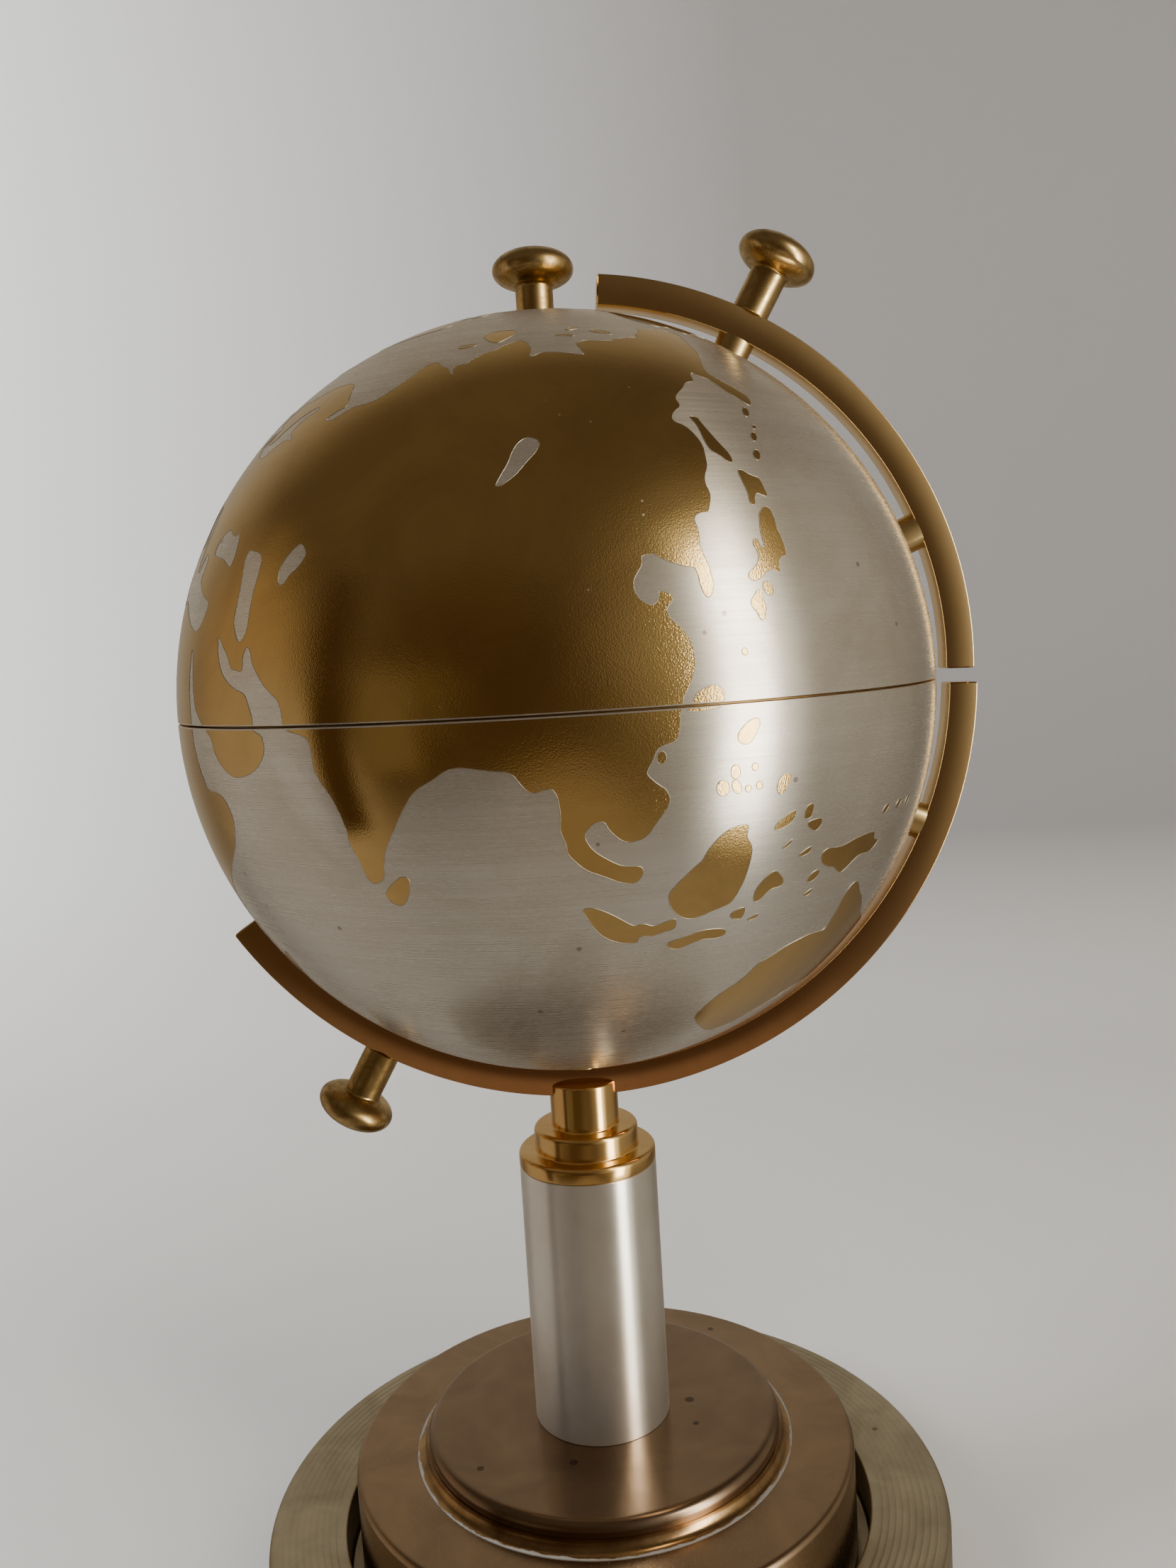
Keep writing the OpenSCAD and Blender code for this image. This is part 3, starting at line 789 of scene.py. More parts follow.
# Outlines as (longitude, latitude) on the object's own map, with its hand-cut shapes
EURASIA_AFRICA = [
    (63, 77.5), (69, 78), (72, 77.2), (75.5, 76.6), (79, 76.3), (81, 75), (82.5, 74.8), (81.5, 76),
    (82, 76.7), (88, 76.9), (92, 78), (99, 79), (107, 79.3), (112.5, 80), (118.5, 80.2), (126, 80.4),
    (129, 79.6), (127, 77), (120.5, 75.3), (124.5, 75.3), (128.5, 75.5), (134, 74.5), (138.5, 73),
    (141, 72), (143, 71.7), (145, 73), (147.5, 74.3), (150, 74.5), (154.5, 74), (157, 73), (161, 71.5),
    (164, 71.3), (167.5, 70.5), (170, 70), (171.5, 69.2), (173, 69), (175, 69.5), (179, 69), (183, 69.5),
    (190, 66), (190, 63.5), (184, 63), (180, 62), (177, 61), (174, 60.5), (170.5, 60), (166, 58.8),
    (166, 57), (166.5, 54.6), (166.5, 52.8), (165, 51.8), (163.3, 51.6), (163, 52.5), (163, 53.4),
    (162.7, 55), (163, 56.5), (163.5, 57.8), (162.5, 59), (162, 60.3), (160.5, 60), (158.5, 59),
    (156, 59.7), (153, 59.2), (150, 59), (147.5, 58.6), (146.5, 57.2), (143.3, 57), (141.5, 56.5),
    (141, 55.8), (142, 55), (142.5, 53.9), (142.3, 52.2), (141.7, 51), (140, 49.4), (139, 48.5),
    (137, 47.6), (136, 46.6), (135.7, 45.4), (135, 44.7), (133.7, 43.8), (133, 43.4), (132, 43.7),
    (130.8, 43.7), (130, 43.3), (129.8, 42.4), (129.5, 41.6), (128.6, 40.4), (128.3, 38.9), (128.2, 37.2),
    (127.7, 35.8), (127.2, 34.9), (126.5, 34.3), (125.8, 34.2), (125.5, 34.9), (125.6, 36), (126, 37.2),
    (126, 38.1), (124.7, 38.5), (123.7, 39.1), (122.7, 39.7), (121.6, 40.5), (121, 41.2), (119.8, 41.4),
    (118.8, 41.5), (118.5, 40.5), (117.2, 39.7), (116.2, 39), (115.8, 37.7), (116.2, 36.6), (117.2, 35.7),
    (118.3, 35.7), (119, 36.3), (119, 36.7), (119.6, 37), (121.2, 35.8), (120.3, 35.2), (119.3, 34.7),
    (119.3, 33.8), (119.8, 33), (120.5, 31.9), (120.9, 30.9), (121, 29.5), (120.6, 27.8), (119.8, 26.6),
    (118.6, 25.4), (117.5, 24.5), (117, 23.5), (116.5, 22.9), (116.3, 22), (115.5, 20.4), (114.8, 20),
    (113.3, 20), (112.5, 19.8), (111.8, 18.8), (111, 18.1), (110.5, 17.3), (111.5, 15.9), (112.5, 14.9),
    (112.7, 13.6), (112.2, 12.8), (110.4, 11.2), (108.8, 9.8), (106.9, 9.7), (105.8, 10.3), (104.7, 11.9),
    (104.4, 13.1), (103.2, 13.2), (101.9, 12.3), (101.7, 11.4), (102.4, 9.7), (104.2, 7.9), (105.5, 6.9),
    (107.6, 6.4), (107.8, 5.4), (106.7, 4.2), (105, 4.7), (103, 6.2), (101, 7.5), (99.3, 10), (99.5, 11),
    (99, 13), (99.5, 15), (99.5, 17.3), (99, 18.2), (98.2, 18.2), (96.5, 17.9), (95.5, 19), (94.5, 20.8),
    (92, 21.2), (89.5, 21.7), (88, 22), (86.3, 21.7), (84.5, 20.6), (82, 19.5), (80, 17), (78.5, 14.5),
    (77, 12), (76.5, 10.5), (76, 7.8), (74.5, 7), (73.5, 7.8), (73, 10), (72, 12), (71.5, 15), (70, 18),
    (68.5, 19.5), (67.3, 21.3), (67, 23.5), (66.2, 25), (61.9, 25.2), (61.6, 26.8), (61, 28), (60.2, 28.8),
    (58.5, 29.4), (57, 30.1), (55.6, 31), (54, 32), (52.8, 33.7), (51.6, 33.9), (51.3, 32.8), (51.3, 32),
    (51.7, 31.5), (51.5, 30.6), (50.4, 30.6), (48.7, 30.4), (47.5, 31.6), (45.5, 32.5), (44, 33.2),
    (42.8, 33.4), (43.4, 32.6), (43.7, 31.7), (44.8, 30.6), (46, 29.5), (48.5, 28.5), (50.8, 28.2),
    (53, 28.2), (53.9, 27.4), (54.9, 26.2), (55.5, 25.4), (55.5, 24), (57.5, 23.8), (57.9, 23.3),
    (58.3, 22.3), (57.9, 20.9), (56.6, 19.3), (54.6, 18), (52.6, 17.2), (51, 16.8), (48.7, 17.1),
    (46.8, 18), (45.7, 18.8), (44.9, 20.3), (42, 21), (39, 22), (37, 24), (35.5, 27), (34.2, 29),
    (33.2, 29.2), (34.5, 25), (36, 22), (37.5, 18), (39.5, 15), (42.5, 12), (45, 12.8), (47.5, 13),
    (49.3, 11.6), (49.8, 9.5), (49, 7.5), (48.6, 6), (47, 4), (43, -1), (39.5, -6), (40.5, -11), (40, -15),
    (35, -20), (35.5, -24), (32, -29), (26, -34), (20, -34.8), (18, -32), (15, -27), (12, -18), (13.5, -12),
    (12, -6), (9.5, 0), (9, 4), (4, 6.3), (-2, 5), (-8, 4.5), (-13, 9), (-16.5, 15), (-17, 21), (-13, 27.5),
    (-9.8, 31.5), (-6, 35.6), (-2, 35), (5, 36.8), (10.5, 37), (11, 33.5), (15, 32.3), (19, 30.3),
    (20.5, 32.3), (25, 31.6), (30, 31.2), (33.5, 31.4), (35.5, 33.5), (36, 36.4), (33, 36.2), (30, 36.5),
    (27, 37), (26.5, 40.2), (23.5, 40.4), (23.5, 38), (22.5, 36.6), (20.5, 38.5), (19, 42), (14.5, 45.3),
    (12.5, 44.8), (14, 42.3), (18, 40.2), (16, 38.2), (14.5, 40.6), (10.5, 42.8), (8.5, 44.2), (4, 43.3),
    (1, 41), (-0.5, 38.5), (-4.5, 36.6), (-9, 37), (-9.2, 40), (-8.5, 43.4), (-1.8, 43.5), (-1.5, 46.5),
    (-4.5, 48.3), (-1.2, 49.5), (2, 51), (6.5, 53.6), (8.6, 54.2), (8.2, 57), (10.3, 57.5), (10.5, 54.4),
    (14, 54), (19.5, 54.6), (21.5, 57.2), (24, 59.2), (29, 59.9), (23, 60.2), (21.8, 62.5), (25, 65),
    (22.5, 65.8), (18.5, 62.8), (17, 60.4), (16.2, 57), (12.8, 55.6), (11, 59), (7.5, 58.2), (5, 60),
    (6, 62.5), (11, 64.8), (15, 68.2), (21, 70.2), (27, 71), (33, 69.6), (40.5, 67.6), (37.5, 66.4),
    (36, 64.4), (40.5, 65), (44.5, 68), (48, 68.4), (53, 69.6), (57, 72.2), (60, 75),
]
LAKES = [
    [(43.5, 45.2), (47, 45.4), (48.6, 44.8), (49, 44), (49.5, 42), (49.6, 41), (49.8, 40.1), (50.2, 38.2),
     (50.7, 36.9), (50.8, 35.3), (50, 34.2), (49, 34), (47, 35.5), (46.3, 36.6), (46, 38.1), (45.5, 39.7),
     (45, 41), (44.3, 42.4), (43.2, 43.6), (42.9, 44.7)],
    [(57.6, 48), (59.7, 47), (59.8, 46), (59, 44.8), (57.6, 43.8), (57, 42.6), (56, 42.2), (55.2, 42.5),
     (54.5, 43.9), (54.8, 45.3), (56, 46.8)],
    [(107.5, 60.6), (109.3, 59.9), (109.2, 59.1), (107.6, 58), (105.6, 57.2), (103.7, 56.2), (102.3, 55.5),
     (100.4, 54.8), (98.6, 54.3), (97.8, 54.5), (99.5, 56), (101.3, 57.4), (102.5, 58.8), (104.2, 60),
     (105.8, 60.5)],
    [(28.5, 41.3), (28, 43.5), (31, 46), (34.5, 45.3), (36.5, 46.6), (39, 43.6), (39, 41.7), (35, 42.2),
     (32, 41.8)],
]
ISLANDS = [
    # Sakhalin, Hokkaido, Honshu, Kyushu
    [(145.5, 55.6), (147, 54.8), (146.5, 53.9), (146, 52.3), (145.6, 50.4), (145.6, 48.8), (145, 47.7),
     (144.3, 47.4), (143.7, 47.9), (143.3, 49), (142.5, 50), (142.8, 51.2), (144, 52.6), (145, 53.8)],
    [(144, 46.3), (145, 46.1), (145.7, 45), (147, 44.1), (146.7, 43.3), (145.7, 41.4), (144.7, 42.2),
     (144, 42.7), (143, 42.3), (142.3, 41.6), (141.7, 41.6), (141.4, 42.1), (142.3, 43), (143, 44.3)],
    [(143, 40.8), (144, 40.7), (144.3, 40), (143.8, 38.8), (143, 37.8), (142.6, 36.3), (142.2, 35.3),
     (141.5, 34.3), (141.2, 34.5), (140.3, 34.6), (139.5, 34.2), (138.8, 33), (138.5, 33.3), (137.9, 33.8),
     (136.8, 34), (136, 33.8), (134.9, 33.6), (133.8, 33.7), (133.4, 34.3), (133.6, 34.8), (134.6, 35),
     (135.6, 35.2), (136.7, 35.8), (137.1, 36.6), (137.1, 37.6), (137.5, 38), (138.2, 38.1), (138.4, 37.7),
     (138.2, 36.8), (138.8, 36.6), (139, 37.2), (139.8, 38.6), (140.8, 39.6), (141.6, 40.4)],
    [(133.6, 32.6), (134.3, 32.4), (133.9, 31.1), (133.7, 30.2), (132.6, 29.1), (132, 29.3), (132, 30.4),
     (131.6, 31.2), (131.8, 31.8), (132.8, 32.2)],
    # Taiwan, and the blob across the seam from it
    [(119.4, 24.5), (120.7, 24.8), (122.2, 24.7), (123, 23.8), (122.8, 22.7), (122.2, 21.9), (120.3, 22.2),
     (118.6, 22.5), (117.3, 23), (118.4, 23.6)],
    [(126.5, 19), (126.5, 18.2), (125.6, 17.4), (124.7, 16.7), (123.7, 16.6), (122.9, 17.3), (123, 18.1),
     (124, 18.8), (125.4, 19.2)],
    # The Philippines' south, Borneo, Sumatra, Java
    [(128.3, 11.2), (129, 10.4), (127.9, 9.2), (126.8, 8.6), (126.3, 9.6), (127, 10.8)],
    [(119.9, 7.4), (120.8, 7.3), (121.8, 6.9), (121.1, 5.5), (121.6, 4.2), (121.6, 3.2), (120.9, 1.4),
     (119.9, -0.6), (118, -3), (116.6, -3.2), (114.8, -3.2), (113, -3.4), (111.7, -2.9), (110.6, -1.6),
     (110.1, -0.1), (110.2, 1.6), (111.5, 2.6), (113.2, 3.7), (115.2, 4.7), (115.7, 5.5), (117.3, 6.7),
     (118.8, 7.3)],
    [(99.7, 2.2), (100.8, 2.3), (102.2, 1.4), (103.3, 0.4), (104.3, -0.7), (105.4, -1.9), (106.6, -1.8),
     (107.6, -2.6), (108.6, -2.6), (109.7, -2.4), (110.7, -2.4), (110.4, -4), (108.7, -4), (107.3, -4.2),
     (105.8, -3.6), (105.5, -4.6), (104.4, -4.4), (102.8, -3.7), (101.4, -2.3), (100.6, -0.7),
     (100.1, 0.9)],
    [(109, -6), (110.8, -5.8), (112.2, -5.8), (113.6, -5.7), (115.4, -6.2), (116.6, -6.8), (116.9, -7.5),
     (116.4, -8), (115.2, -7.9), (113.8, -7.3), (112.3, -7.3), (110.1, -7.6), (109.2, -6.9)],
    # Sunda islands, Sulawesi, the Moluccas, New Guinea
    [(117.5, -4.9), (118.2, -4.5), (119.7, -4.5), (119.6, -5.5), (118.9, -6.3), (117.8, -5.7)],
    [(119.8, -6.9), (121.7, -6.5), (121.3, -7.2), (120.2, -7.2)],
    [(121, -3.6), (121.3, -2.7), (122.6, -1.6), (124.3, -1), (124.9, -1.6), (125.6, -3.3), (125.1, -4),
     (123.7, -3.6), (122.8, -3.9), (121.6, -4.6), (121, -4.4)],
    [(125, 4.7), (125.4, 5.3), (127, 5.8), (128.8, 5.9), (128.1, 4.7), (126.8, 4.3), (125.5, 4.4)],
    [(129.5, 4), (130.1, 5.5), (131.4, 5.5), (131.3, 4.6), (130.6, 3.6)],
    [(130, 3.4), (132.5, 2.8), (132.2, 1.8), (131, 1.3), (130, 2.6)],
    [(125.7, 1.6), (127.6, 2.3), (127.1, 1.6), (126, 1.4)],
    [(128, -0.6), (130.4, -0.3), (129.9, -1.2), (128.4, -1.1)],
    [(129, -5.6), (129.9, -4.6), (131.5, -4.7), (131.1, -5.7), (130.1, -6.1)],
    [(128.5, -7.5), (130.3, -7.2), (129.8, -8), (128.9, -8)],
    [(131.6, -3.6), (131.9, -2.4), (133.1, -2.3), (135.3, -3.5), (138, -3.9), (140.2, -4.5), (142.7, -5.5),
     (142.4, -6.7), (143.8, -7.6), (142.8, -8.2), (141.4, -8.3), (139.2, -7.2), (137.9, -7.4),
     (136.3, -7.8), (135.2, -7.9), (134.5, -7), (134, -6), (132.5, -5)],
    # Australia, Sri Lanka
    [(115.5, -20.5), (119.3, -19), (121.6, -16.8), (123.9, -16.5), (126.2, -16), (128.6, -16.2),
     (131, -16.6), (133.8, -18.2), (135.2, -16.2), (136.6, -13.5), (137.8, -12.2), (139.6, -12),
     (141, -15.5), (142.5, -18), (144, -22), (147, -26), (150, -30), (149, -36), (144, -38), (138, -35),
     (132, -32), (124, -33), (116, -34), (113, -28), (112, -24)],
    [(75.8, 6), (76.8, 7.2), (78.2, 8.3), (79, 8.5), (79.5, 7.9), (79.1, 6.2), (78.1, 4.5), (77.3, 4.2),
     (76.4, 4.6), (75.7, 5.3)],
    # Arctic islands
    [(150.5, 78.3), (153.5, 77.6), (156, 76.4), (155.4, 75.8), (152.5, 76.9), (150, 77.7)],
    [(162, 78.2), (166, 77.8), (170, 77.1), (169, 76.6), (165, 77), (161.6, 77.6)],
    [(167.5, 75.3), (170, 74.4), (170.5, 72.8), (168.5, 72), (167, 73.2), (166.2, 74.6)],
    [(110, 81.2), (104, 82.5), (97, 84.5), (120, 85.5), (140, 83.5), (135, 82.6), (122, 82)],
    [(75, 81.5), (82, 81.5), (92, 81.8), (91, 82.4), (82, 82.3), (75, 82.1)],
    # The far side: the Americas, Greenland, Britain, Iceland, Madagascar, New Zealand, Antarctica
    [(-166, 66), (-162, 70), (-150, 71), (-135, 69.5), (-125, 71), (-115, 69), (-105, 69), (-95, 72),
     (-88, 69.5), (-82, 68), (-94, 60.5), (-93, 57), (-84, 55), (-80, 52), (-78, 56), (-78, 61),
     (-70, 61.5), (-64, 58), (-57, 53), (-66, 50), (-64, 46), (-70, 43.5), (-74, 40), (-76, 35), (-81, 31),
     (-80.5, 26), (-84, 30), (-94, 29.5), (-97.5, 24), (-95, 18.5), (-90.5, 20), (-88, 17), (-83.5, 14.5),
     (-82, 9.5), (-77.5, 8.5), (-72, 12), (-62, 10.5), (-52, 5), (-49, -1), (-38, -4), (-35, -8),
     (-39, -14), (-41, -22), (-48, -27), (-54, -34), (-58, -38), (-65, -42), (-67, -48), (-69, -53),
     (-74, -51), (-73.5, -40), (-71, -30), (-70.5, -18), (-76, -14), (-81, -5), (-79.5, 1.5), (-77.5, 7),
     (-83, 8.2), (-88, 13), (-95, 16), (-104, 19), (-110, 26), (-113.5, 31), (-110, 24), (-115.5, 30),
     (-120.5, 34.5), (-124, 40), (-124, 47), (-130, 54), (-138, 59), (-149, 60.5), (-158, 57), (-157, 59.5),
     (-165, 61.5), (-161, 64.5)],
    [(-73, 78.5), (-58, 82), (-35, 83.5), (-20, 81.5), (-19, 76), (-25, 70), (-40, 65), (-43, 60),
     (-50, 62.5), (-54, 68), (-58, 75.5)],
    [(-90, 77), (-78, 76.5), (-76, 79), (-64, 82.6), (-80, 83), (-92, 81)],
    [(-80, 73.5), (-70, 71), (-62, 66.5), (-66, 62.5), (-73, 66), (-77, 70), (-88, 72)],
    [(-118, 73), (-106, 73), (-105, 69.4), (-115, 69.8)],
    [(-5, 50.2), (1, 51.2), (0, 53), (-2.5, 56), (-3, 58.5), (-5.8, 58), (-4.5, 54.5), (-3.5, 53.2)],
    [(-9.5, 52), (-6.5, 52.3), (-6, 54.8), (-9.5, 54)],
    [(-23.5, 64.8), (-18.5, 63.5), (-14, 65), (-16, 66.4), (-22, 66.2)],
    [(44, -25), (47.5, -24.5), (50, -15.5), (49, -12.5), (44.5, -17)],
    [(173, -34.8), (178, -38), (175, -41.4), (173.8, -38.5)],
    [(172.5, -40.8), (174, -42), (170.5, -46), (167, -46), (168.5, -43.8)],
    [(145, -41), (148, -41), (147.5, -43.4), (146, -43.4)],
    [(-84.5, 22), (-80, 23), (-75, 20.3), (-77.5, 20), (-82, 22)],
    [(-60, -64), (-62, -74), (-95, -73), (-130, -74), (-165, -78), (165, -77), (168, -71), (140, -67),
     (110, -66.5), (75, -69), (50, -67), (15, -70), (-12, -71), (-30, -77), (-55, -75), (-57, -66)],
]
# Small round islands: longitude, latitude, half sizes in degrees along and across, heading of the long side
SPECKS = [
    (160, 51.5, 0.98, 0.5, 62), (157.3, 49.4, 0.4, 0.3, 60), (154.6, 48.5, 0.86, 0.45, 58),
    (151, 46.5, 0.9, 0.55, 55), (135.5, 32.2, 0.92, 0.7, 0), (127.8, 26.8, 0.45, 0.4, 0),
    (112.8, 18.7, 0.75, 0.6, 20), (119.4, 12.7, 1.0, 0.85, 0), (121.5, 14.0, 0.9, 0.65, 10),
    (121.2, 12.2, 0.95, 0.6, -10), (124.2, 13.6, 0.5, 0.45, 0), (122.6, 11.4, 0.45, 0.4, 0),
    (124.2, 11.2, 0.5, 0.45, 0), (145.3, -3.5, 0.9, 0.5, 80), (149, -5, 0.9, 0.5, 80),
    (152, -6.5, 0.9, 0.5, 60),
]


def on_globe(lon, lat):
    """Direction from the sphere's centre of a point on the map."""
    a, b = math.radians(lon), math.radians(lat)
    return MAP_TURN @ Vector((math.cos(b) * math.cos(a), math.cos(b) * math.sin(a), math.sin(b)))


def speck(lon, lat, along, across, heading):
    """Outline of a small round island, as directions from the globe's centre."""
    middle = on_globe(lon, lat)
    north = (on_globe(lon, lat + 1) - middle).normalized()
    east = north.cross(middle)
    h = math.radians(heading)
    out = []
    for k in range(SPECK_POINTS):
        t = 2 * math.pi * k / SPECK_POINTS
        u, v = math.radians(along) * math.cos(t), math.radians(across) * math.sin(t)
        northward, eastward = u * math.cos(h) - v * math.sin(h), u * math.sin(h) + v * math.cos(h)
        out.append((middle + north * northward + east * eastward).normalized())
    return out


def smooth_coast(points, rounds=2):
    """Rounds a closed outline's corners and fills in its long sides."""
    for _ in range(rounds):
        cut = []
        for a, b in zip(points, points[1:] + points[:1]):
            cut += [(a * (1 - part) + b * part).normalized() for part in (CORNER_CUT, 1 - CORNER_CUT)]
        points = cut
    full = []
    for a, b in zip(points, points[1:] + points[:1]):
        parts = max(1, math.ceil(a.angle(b) / (GRID * 0.8)))
        full += [(a * (1 - k / parts) + b * (k / parts)).normalized() for k in range(parts)]
    return full


def inside(xy, loops):
    """Even-odd test of many points against flat closed loops."""
    hit = np.zeros(len(xy), bool)
    for loop in loops:
        a, b = loop, np.roll(loop, -1, axis=0)
        for (x0, y0), (x1, y1) in zip(a, b):
            if y0 != y1:
                spans = (y0 > xy[:, 1]) != (y1 > xy[:, 1])
                hit ^= spans & (xy[:, 0] < (x1 - x0) * (xy[:, 1] - y0) / (y1 - y0) + x0)
    return hit


def land_sheet(bm, coasts):
    """Adds one land, its outer coast first and then its lakes, as triangles on the unit sphere."""
    middle = sum(coasts[0], Vector()).normalized()
    across = middle.orthogonal().normalized()
    up = middle.cross(across)

    def flat(v):
        return (2 * v.dot(across) / (1 + v.dot(middle)), 2 * v.dot(up) / (1 + v.dot(middle)))

    def lifted(x, y):
        d = (x * x + y * y) / 4
        return (across * x + up * y + middle * (1 - d)).normalized() if d < 1e9 else middle

    loops = [np.array([flat(v) for v in coast]) for coast in coasts]
    low, high = loops[0].min(0), loops[0].max(0)
    xs, ys = np.arange(low[0], high[0], GRID), np.arange(low[1], high[1], GRID * 0.866)
    grid = [(x + (GRID / 2 if j % 2 else 0), y) for j, y in enumerate(ys) for x in xs]
    grid = np.array(grid).reshape(-1, 2)
    grid = grid[inside(grid, loops)]
    edge_points = np.concatenate(loops)
    if len(grid):
        near = np.array([np.min(np.sum((edge_points - g) ** 2, axis=1)) for g in grid])
        grid = grid[near > (GRID * 0.45) ** 2]
    points = [tuple(p) for p in edge_points] + [tuple(p) for p in grid]
    edges, start = [], 0
    for loop in loops:
        n = len(loop)
        edges += [(start + k, start + (k + 1) % n) for k in range(n)]
        start += n
    verts, _, faces, *_ = delaunay_2d_cdt([Vector(p) for p in points], edges, [], 0, 1e-7)
    centroids = np.array([[sum(verts[i].x for i in f) / 3, sum(verts[i].y for i in f) / 3] for f in faces])
    keep = inside(centroids, loops)
    made = {}
    for f, kept in zip(faces, keep):
        if kept:
            for i in f:
                if i not in made:
                    made[i] = bm.verts.new(lifted(verts[i].x, verts[i].y))
            corners = [made[i] for i in f]
            face = bm.faces.new(corners)
            face.normal_update()
            if face.normal.dot(corners[0].co) < 0:
                face.normal_flip()


def land_mesh(name, lands, side):
    """The land on one half, as thin closed plates with round faces. side is +1 above the seam."""
    bm = bmesh.new()
    for coasts in lands:
        land_sheet(bm, coasts)
    level = side * (SEAM_GAP + 0.02 * MM) / GLOBE_R
    bmesh.ops.bisect_plane(bm, geom=bm.verts[:] + bm.edges[:] + bm.faces[:], dist=1e-6,
                           plane_co=(0, 0, level), plane_no=(0, 0, -side), clear_outer=True)
    bmesh.ops.dissolve_degenerate(bm, dist=1e-5, edges=bm.edges)
    bmesh.ops.triangulate(bm, faces=bm.faces)
    bm.verts.index_update()
    rim = [e for e in bm.edges if len(e.link_faces) == 1]
    verts = [v.co.normalized() for v in bm.verts]
    count = len(verts)
    coords = [CENTRE + v * r for r in (GLOBE_R + LAND_RISE, GLOBE_R - LAND_DEPTH) for v in verts]
    faces, normals = [], []
    for f in bm.faces:
        corners = [v.index for v in f.verts]
        faces.append(corners)
        normals += [verts[i] for i in corners]
        faces.append([i + count for i in reversed(corners)])
        normals += [-verts[i] for i in reversed(corners)]
    for e in rim:
        loop = next(l for l in e.link_loops)
        a, b = loop.vert.index, loop.link_loop_next.vert.index
        out = (verts[b] - verts[a]).cross(verts[a]).normalized()
        faces.append([b, a, a + count, b + count])
        normals += [out] * 4
    bm.free()
    mesh = bpy.data.meshes.new(name)
    mesh.from_pydata(coords, [], faces)
    mesh.polygons.foreach_set("use_smooth", [True] * len(mesh.polygons))
    mesh.normals_split_custom_set(normals)
    mesh.update()
    return mesh


def coast_runs(coast, side):
    """The stretches of a closed coast on one side of the seam, and whether each is a closed ring."""
    level = side * (SEAM_GAP + 0.06 * MM) / GLOBE_R
    above = [side * (v.z - level) > 0 for v in coast]
    if all(above):
        return [(coast, True)]
    if not any(above):
        return []
    start = next(i for i in range(len(coast)) if above[i] and not above[i - 1])
    order = [(start + k) % len(coast) for k in range(len(coast))]
    runs, run = [], []
    for i in order:
        if above[i]:
            if not run:
                run.append(at_level(coast[i - 1], coast[i], level))
            run.append(coast[i])
        elif run:
            run.append(at_level(coast[i - 1], coast[i], level))
            runs.append((run, False))
            run = []
    if run:
        runs.append((run, False))
    return [(r, closed) for r, closed in runs if len(r) > 3]


def at_level(a, b, level):
    """Where the stretch from a to b crosses a height."""
    return a.lerp(b, (level - a.z) / (b.z - a.z)).normalized()


def coast_mesh(name, coasts, side, sides=8):
    """Thin rounded line along every coast on one half."""
    turns = [2 * math.pi * k / sides for k in range(sides)]
    bm = bmesh.new()
    for coast in coasts:
        for run, closed in coast_runs(coast, side):
            rings = []
            for i, v in enumerate(run):
                ahead = run[(i + 1) % len(run)] if closed or i + 1 < len(run) else v
                back = run[i - 1] if closed or i else v
                flank = v.cross(ahead - back).normalized()
                rim = [(flank * math.cos(a) + v * math.sin(a)) * COAST_R for a in turns]
                rings.append([bm.verts.new(CENTRE + v * GLOBE_R + out) for out in rim])
            pairs = list(zip(rings, rings[1:])) + ([(rings[-1], rings[0])] if closed else [])
            for a, b in pairs:
                for k in range(sides):
                    n = (k + 1) % sides
                    bm.faces.new([a[k], b[k], b[n], a[n]])
            if not closed:
                bm.faces.new(rings[0])
                bm.faces.new(rings[-1][::-1])
    bmesh.ops.recalc_face_normals(bm, faces=bm.faces)
    return finish_mesh(name, bm, 60)


def coast_of(outline):
    """A coast's smoothed directions from its outline's longitudes and latitudes."""
    return smooth_coast([on_globe(*point) for point in outline])


mainland = [coast_of(outline) for outline in [EURASIA_AFRICA] + LAKES]
islands = [[coast_of(outline)] for outline in ISLANDS]
islands += [[smooth_coast(speck(*s), 1)] for s in SPECKS]
lands = [mainland] + islands
coasts = [coast for land in lands for coast in land]
for half, body, side in (("upper", "lid", 1), ("lower", "stand", -1)):
    piece(half + "_lands", land_mesh(half + "_lands", lands, side), body, ["land"])
    piece(half + "_coasts", coast_mesh(half + "_coasts", coasts, side), body, ["coast"])


# ---------------------------------------------------------------- stage and light
def stage_material():
    """Plain pale desk and wall, with painted shade that greys the wall to the right at the back."""
    s = Shader("stage", roughness=0.6, metallic=0.0)
    plaster = s.noise(s.position, scale=140, detail=4, roughness=0.6)
    x, y, z = s.split(s.position)
    # Painted shade: the wall's colour darkens to the right at the back, in place of light falling off across
    # it.
    painted_shade_right_back = s.math("MULTIPLY", s.share(x, -0.28, 0.10), s.share(y, -0.2, 0.2))
    wall = s.mix(painted_shade_right_back, (0.88, 0.89, 0.90), (0.33, 0.315, 0.31))
    s.set("Base Color", s.mix(s.share(z, 0.0, 0.05), (0.70, 0.685, 0.66), wall))
    s.set("Normal", s.bump(plaster, 0.06, 1 * MM))
    return s.material


def towards(azimuth, elevation):
    """Unit vector at an azimuth and elevation in degrees."""
    a, e = math.radians(azimuth), math.radians(elevation)
    return Vector((math.cos(a) * math.cos(e), math.sin(a) * math.cos(e), math.sin(e)))


def panel(name, place, aim, size, power, color, mirrored=True):
    """Soft rectangular light. mirrored says whether metal reflects it."""
    data = bpy.data.lights.new(name, "AREA")
    data.shape = "RECTANGLE"
    data.size, data.size_y = size
    data.energy = power
    data.color = color
    obj = link(name, data)
    obj.location = place
    obj.rotation_mode = "QUATERNION"
    obj.rotation_quaternion = (Vector(place) - Vector(aim)).to_track_quat("Z", "Y")
    obj.visible_camera = False
    obj.visible_glossy = mirrored


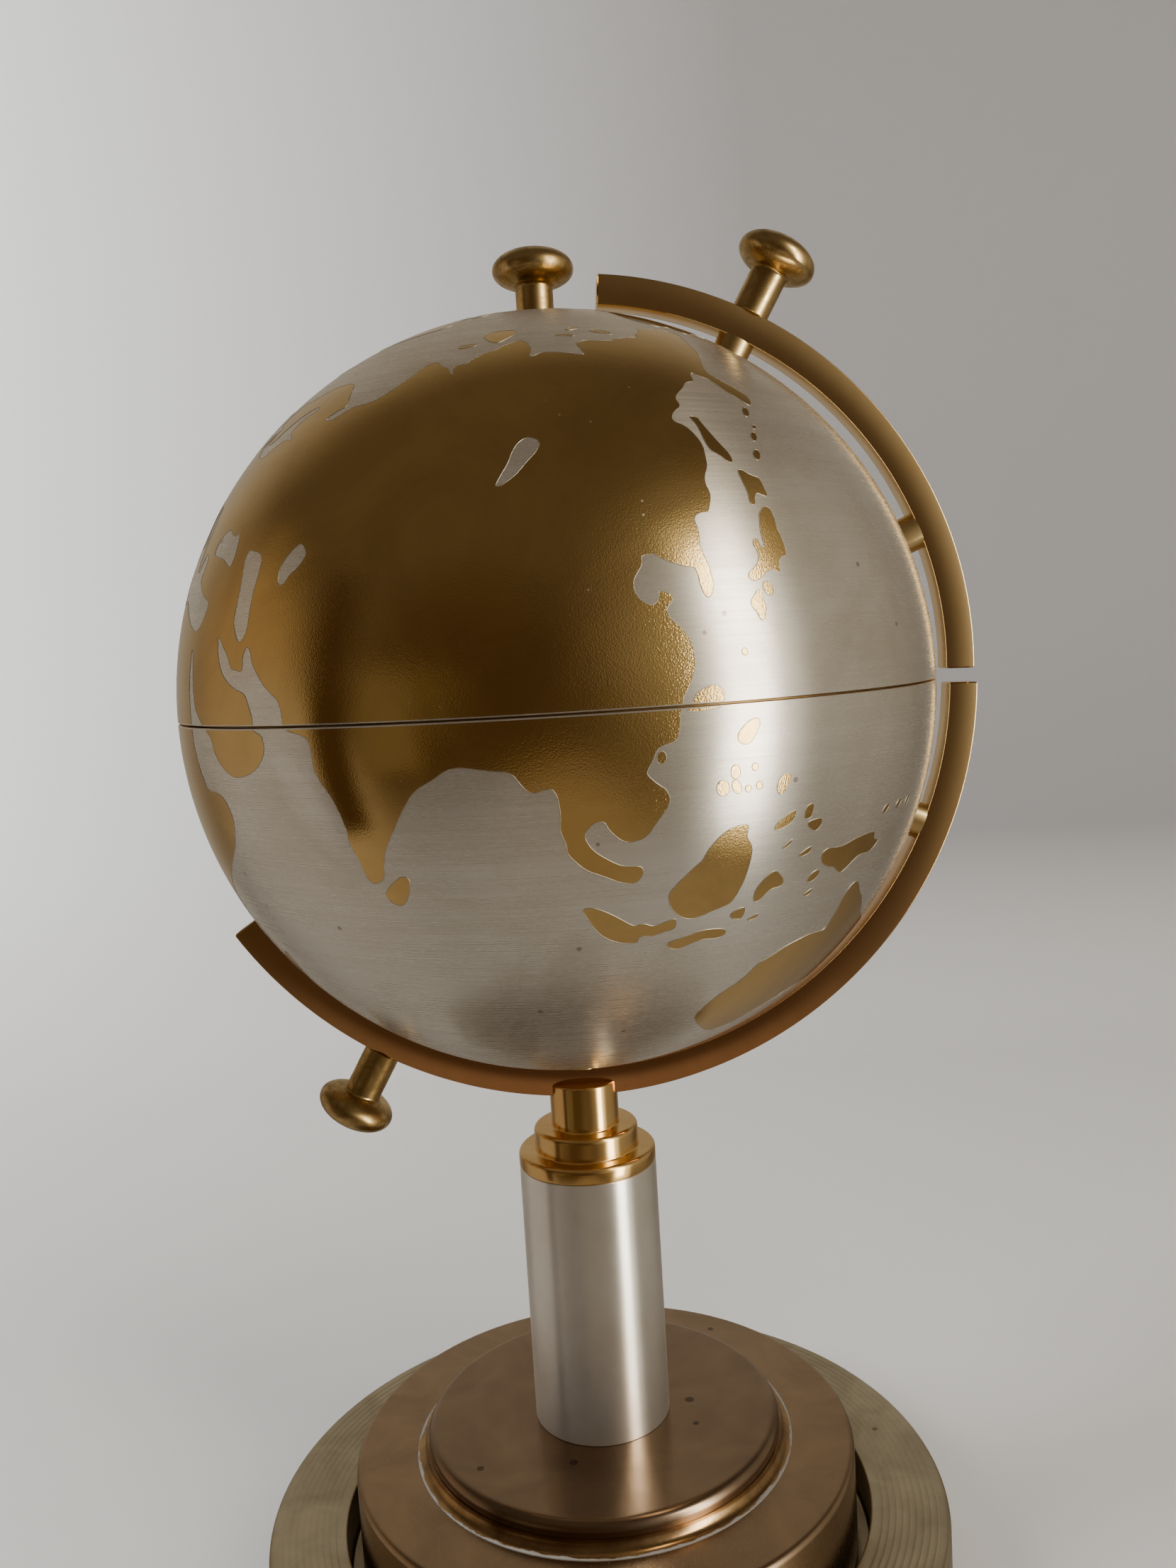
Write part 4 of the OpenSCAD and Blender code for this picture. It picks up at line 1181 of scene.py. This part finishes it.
# The room that the metal mirrors. Soft round patches: azimuth, elevation, full and faded half angles, colour
ROOM = (0.098, 0.076, 0.054)
PATCHES = (
    (-115, 5, 12, 42, (0.066, 0.042, 0.022)),
    (95, 16, 20, 60, (0.36, 0.32, 0.26)),
    (168, 4, 6, 34, (0.34, 0.26, 0.17)),
    (0, -90, 30, 76, (0.29, 0.255, 0.21)),
    (176, -24, 12, 42, (0.36, 0.31, 0.26)),
    (-90, -36, 8, 26, (0.25, 0.20, 0.145)),
    (8, 8, 10, 42, (0.30, 0.26, 0.20)),
    (-31, 12, 10, 52, (0.36, 0.32, 0.25)),
)
# Rectangles in it: azimuth, elevation, half width and height, soft edge (all degrees), colour
CARDS = (
    (-34, 3, 15, 39, 9, (1.35, 1.26, 1.08)),
    (-139, -2, 9, 13, 3, (0.145, 0.115, 0.072)),
    (-124, 3, 3.5, 8, 1.0, (0.12, 0.095, 0.055)),
    (-158, 2, 6, 30, 4, (0.055, 0.033, 0.016)),
)
SEEN = (0.55, 0.55, 0.55)


def room():
    """World light: a dim warm room, and plain pale grey where the camera sees it."""
    world = bpy.data.worlds.new("room")
    bpy.context.scene.world = world
    world.use_nodes = True
    w = Nodes(world.node_tree)
    way = w.add("ShaderNodeTexCoord").outputs["Generated"]

    def along(vector):
        dot = w.add("ShaderNodeVectorMath", {0: way, 1: vector}, operation="DOT_PRODUCT")
        return dot.outputs["Value"]

    def fade(value, start, end):
        return w.share(value, start, end, interpolation_type="SMOOTHSTEP")

    color = ROOM
    for azimuth, elevation, full, faded, tint in PATCHES:
        edges = [math.cos(math.radians(half)) for half in (faded, full)]
        color = w.mix(fade(along(towards(azimuth, elevation)), *edges), color, tint)
    for azimuth, elevation, wide, high, edge, tint in CARDS:
        ahead = along(towards(azimuth, elevation))
        cover = fade(ahead, 0.0, 0.05)
        for axis, half in ((towards(azimuth + 90, 0), wide), (towards(azimuth, elevation + 90), high)):
            slope = w.math("ABSOLUTE", w.math("DIVIDE", along(axis), ahead))
            inner, outer = (math.tan(math.radians(half + side * edge / 2)) for side in (-1, 1))
            cover = w.math("MULTIPLY", cover, fade(slope, outer, inner))
        color = w.mix(cover, color, tint)
    seen = w.add("ShaderNodeLightPath").outputs["Is Camera Ray"]
    w.feed(world.node_tree.nodes["Background"].inputs["Color"], w.mix(seen, color, SEEN))


WALL_Y, WALL_TOP, BEND, ROOM_R = 420, 800, 200, 1200
# Desk and wall are one big round dish, in mm, so the side and back views have a backdrop too
sweep = arc((ROOM_R - BEND, BEND), BEND, -90, 0, 24)
dish = turned_mesh("stage", [(0, 0), (ROOM_R - BEND, 0)] + sweep + [(ROOM_R, WALL_TOP)],
                   at=(0, (WALL_Y - ROOM_R) * MM, 0), sharp=60)
dish.materials.append(stage_material())
stage = link("stage", dish)
stage.visible_glossy = False

room()
panel("window", CENTRE + towards(-38, 3) * 0.7, CENTRE, (0.17, 0.86), 4.6, (1.0, 0.96, 0.88))
panel("desk_fill", (0.22, -0.30, 0.60), (0.16, -0.10, 0), (0.4, 0.4), 1.7, (1.0, 0.985, 0.96),
      mirrored=False)
panel("wall_wash", (-0.55, -0.05, 0.42), (-0.36, WALL_Y * MM, 0.16), (0.25, 0.35), 4.6,
      (0.97, 0.985, 1.0), mirrored=False)
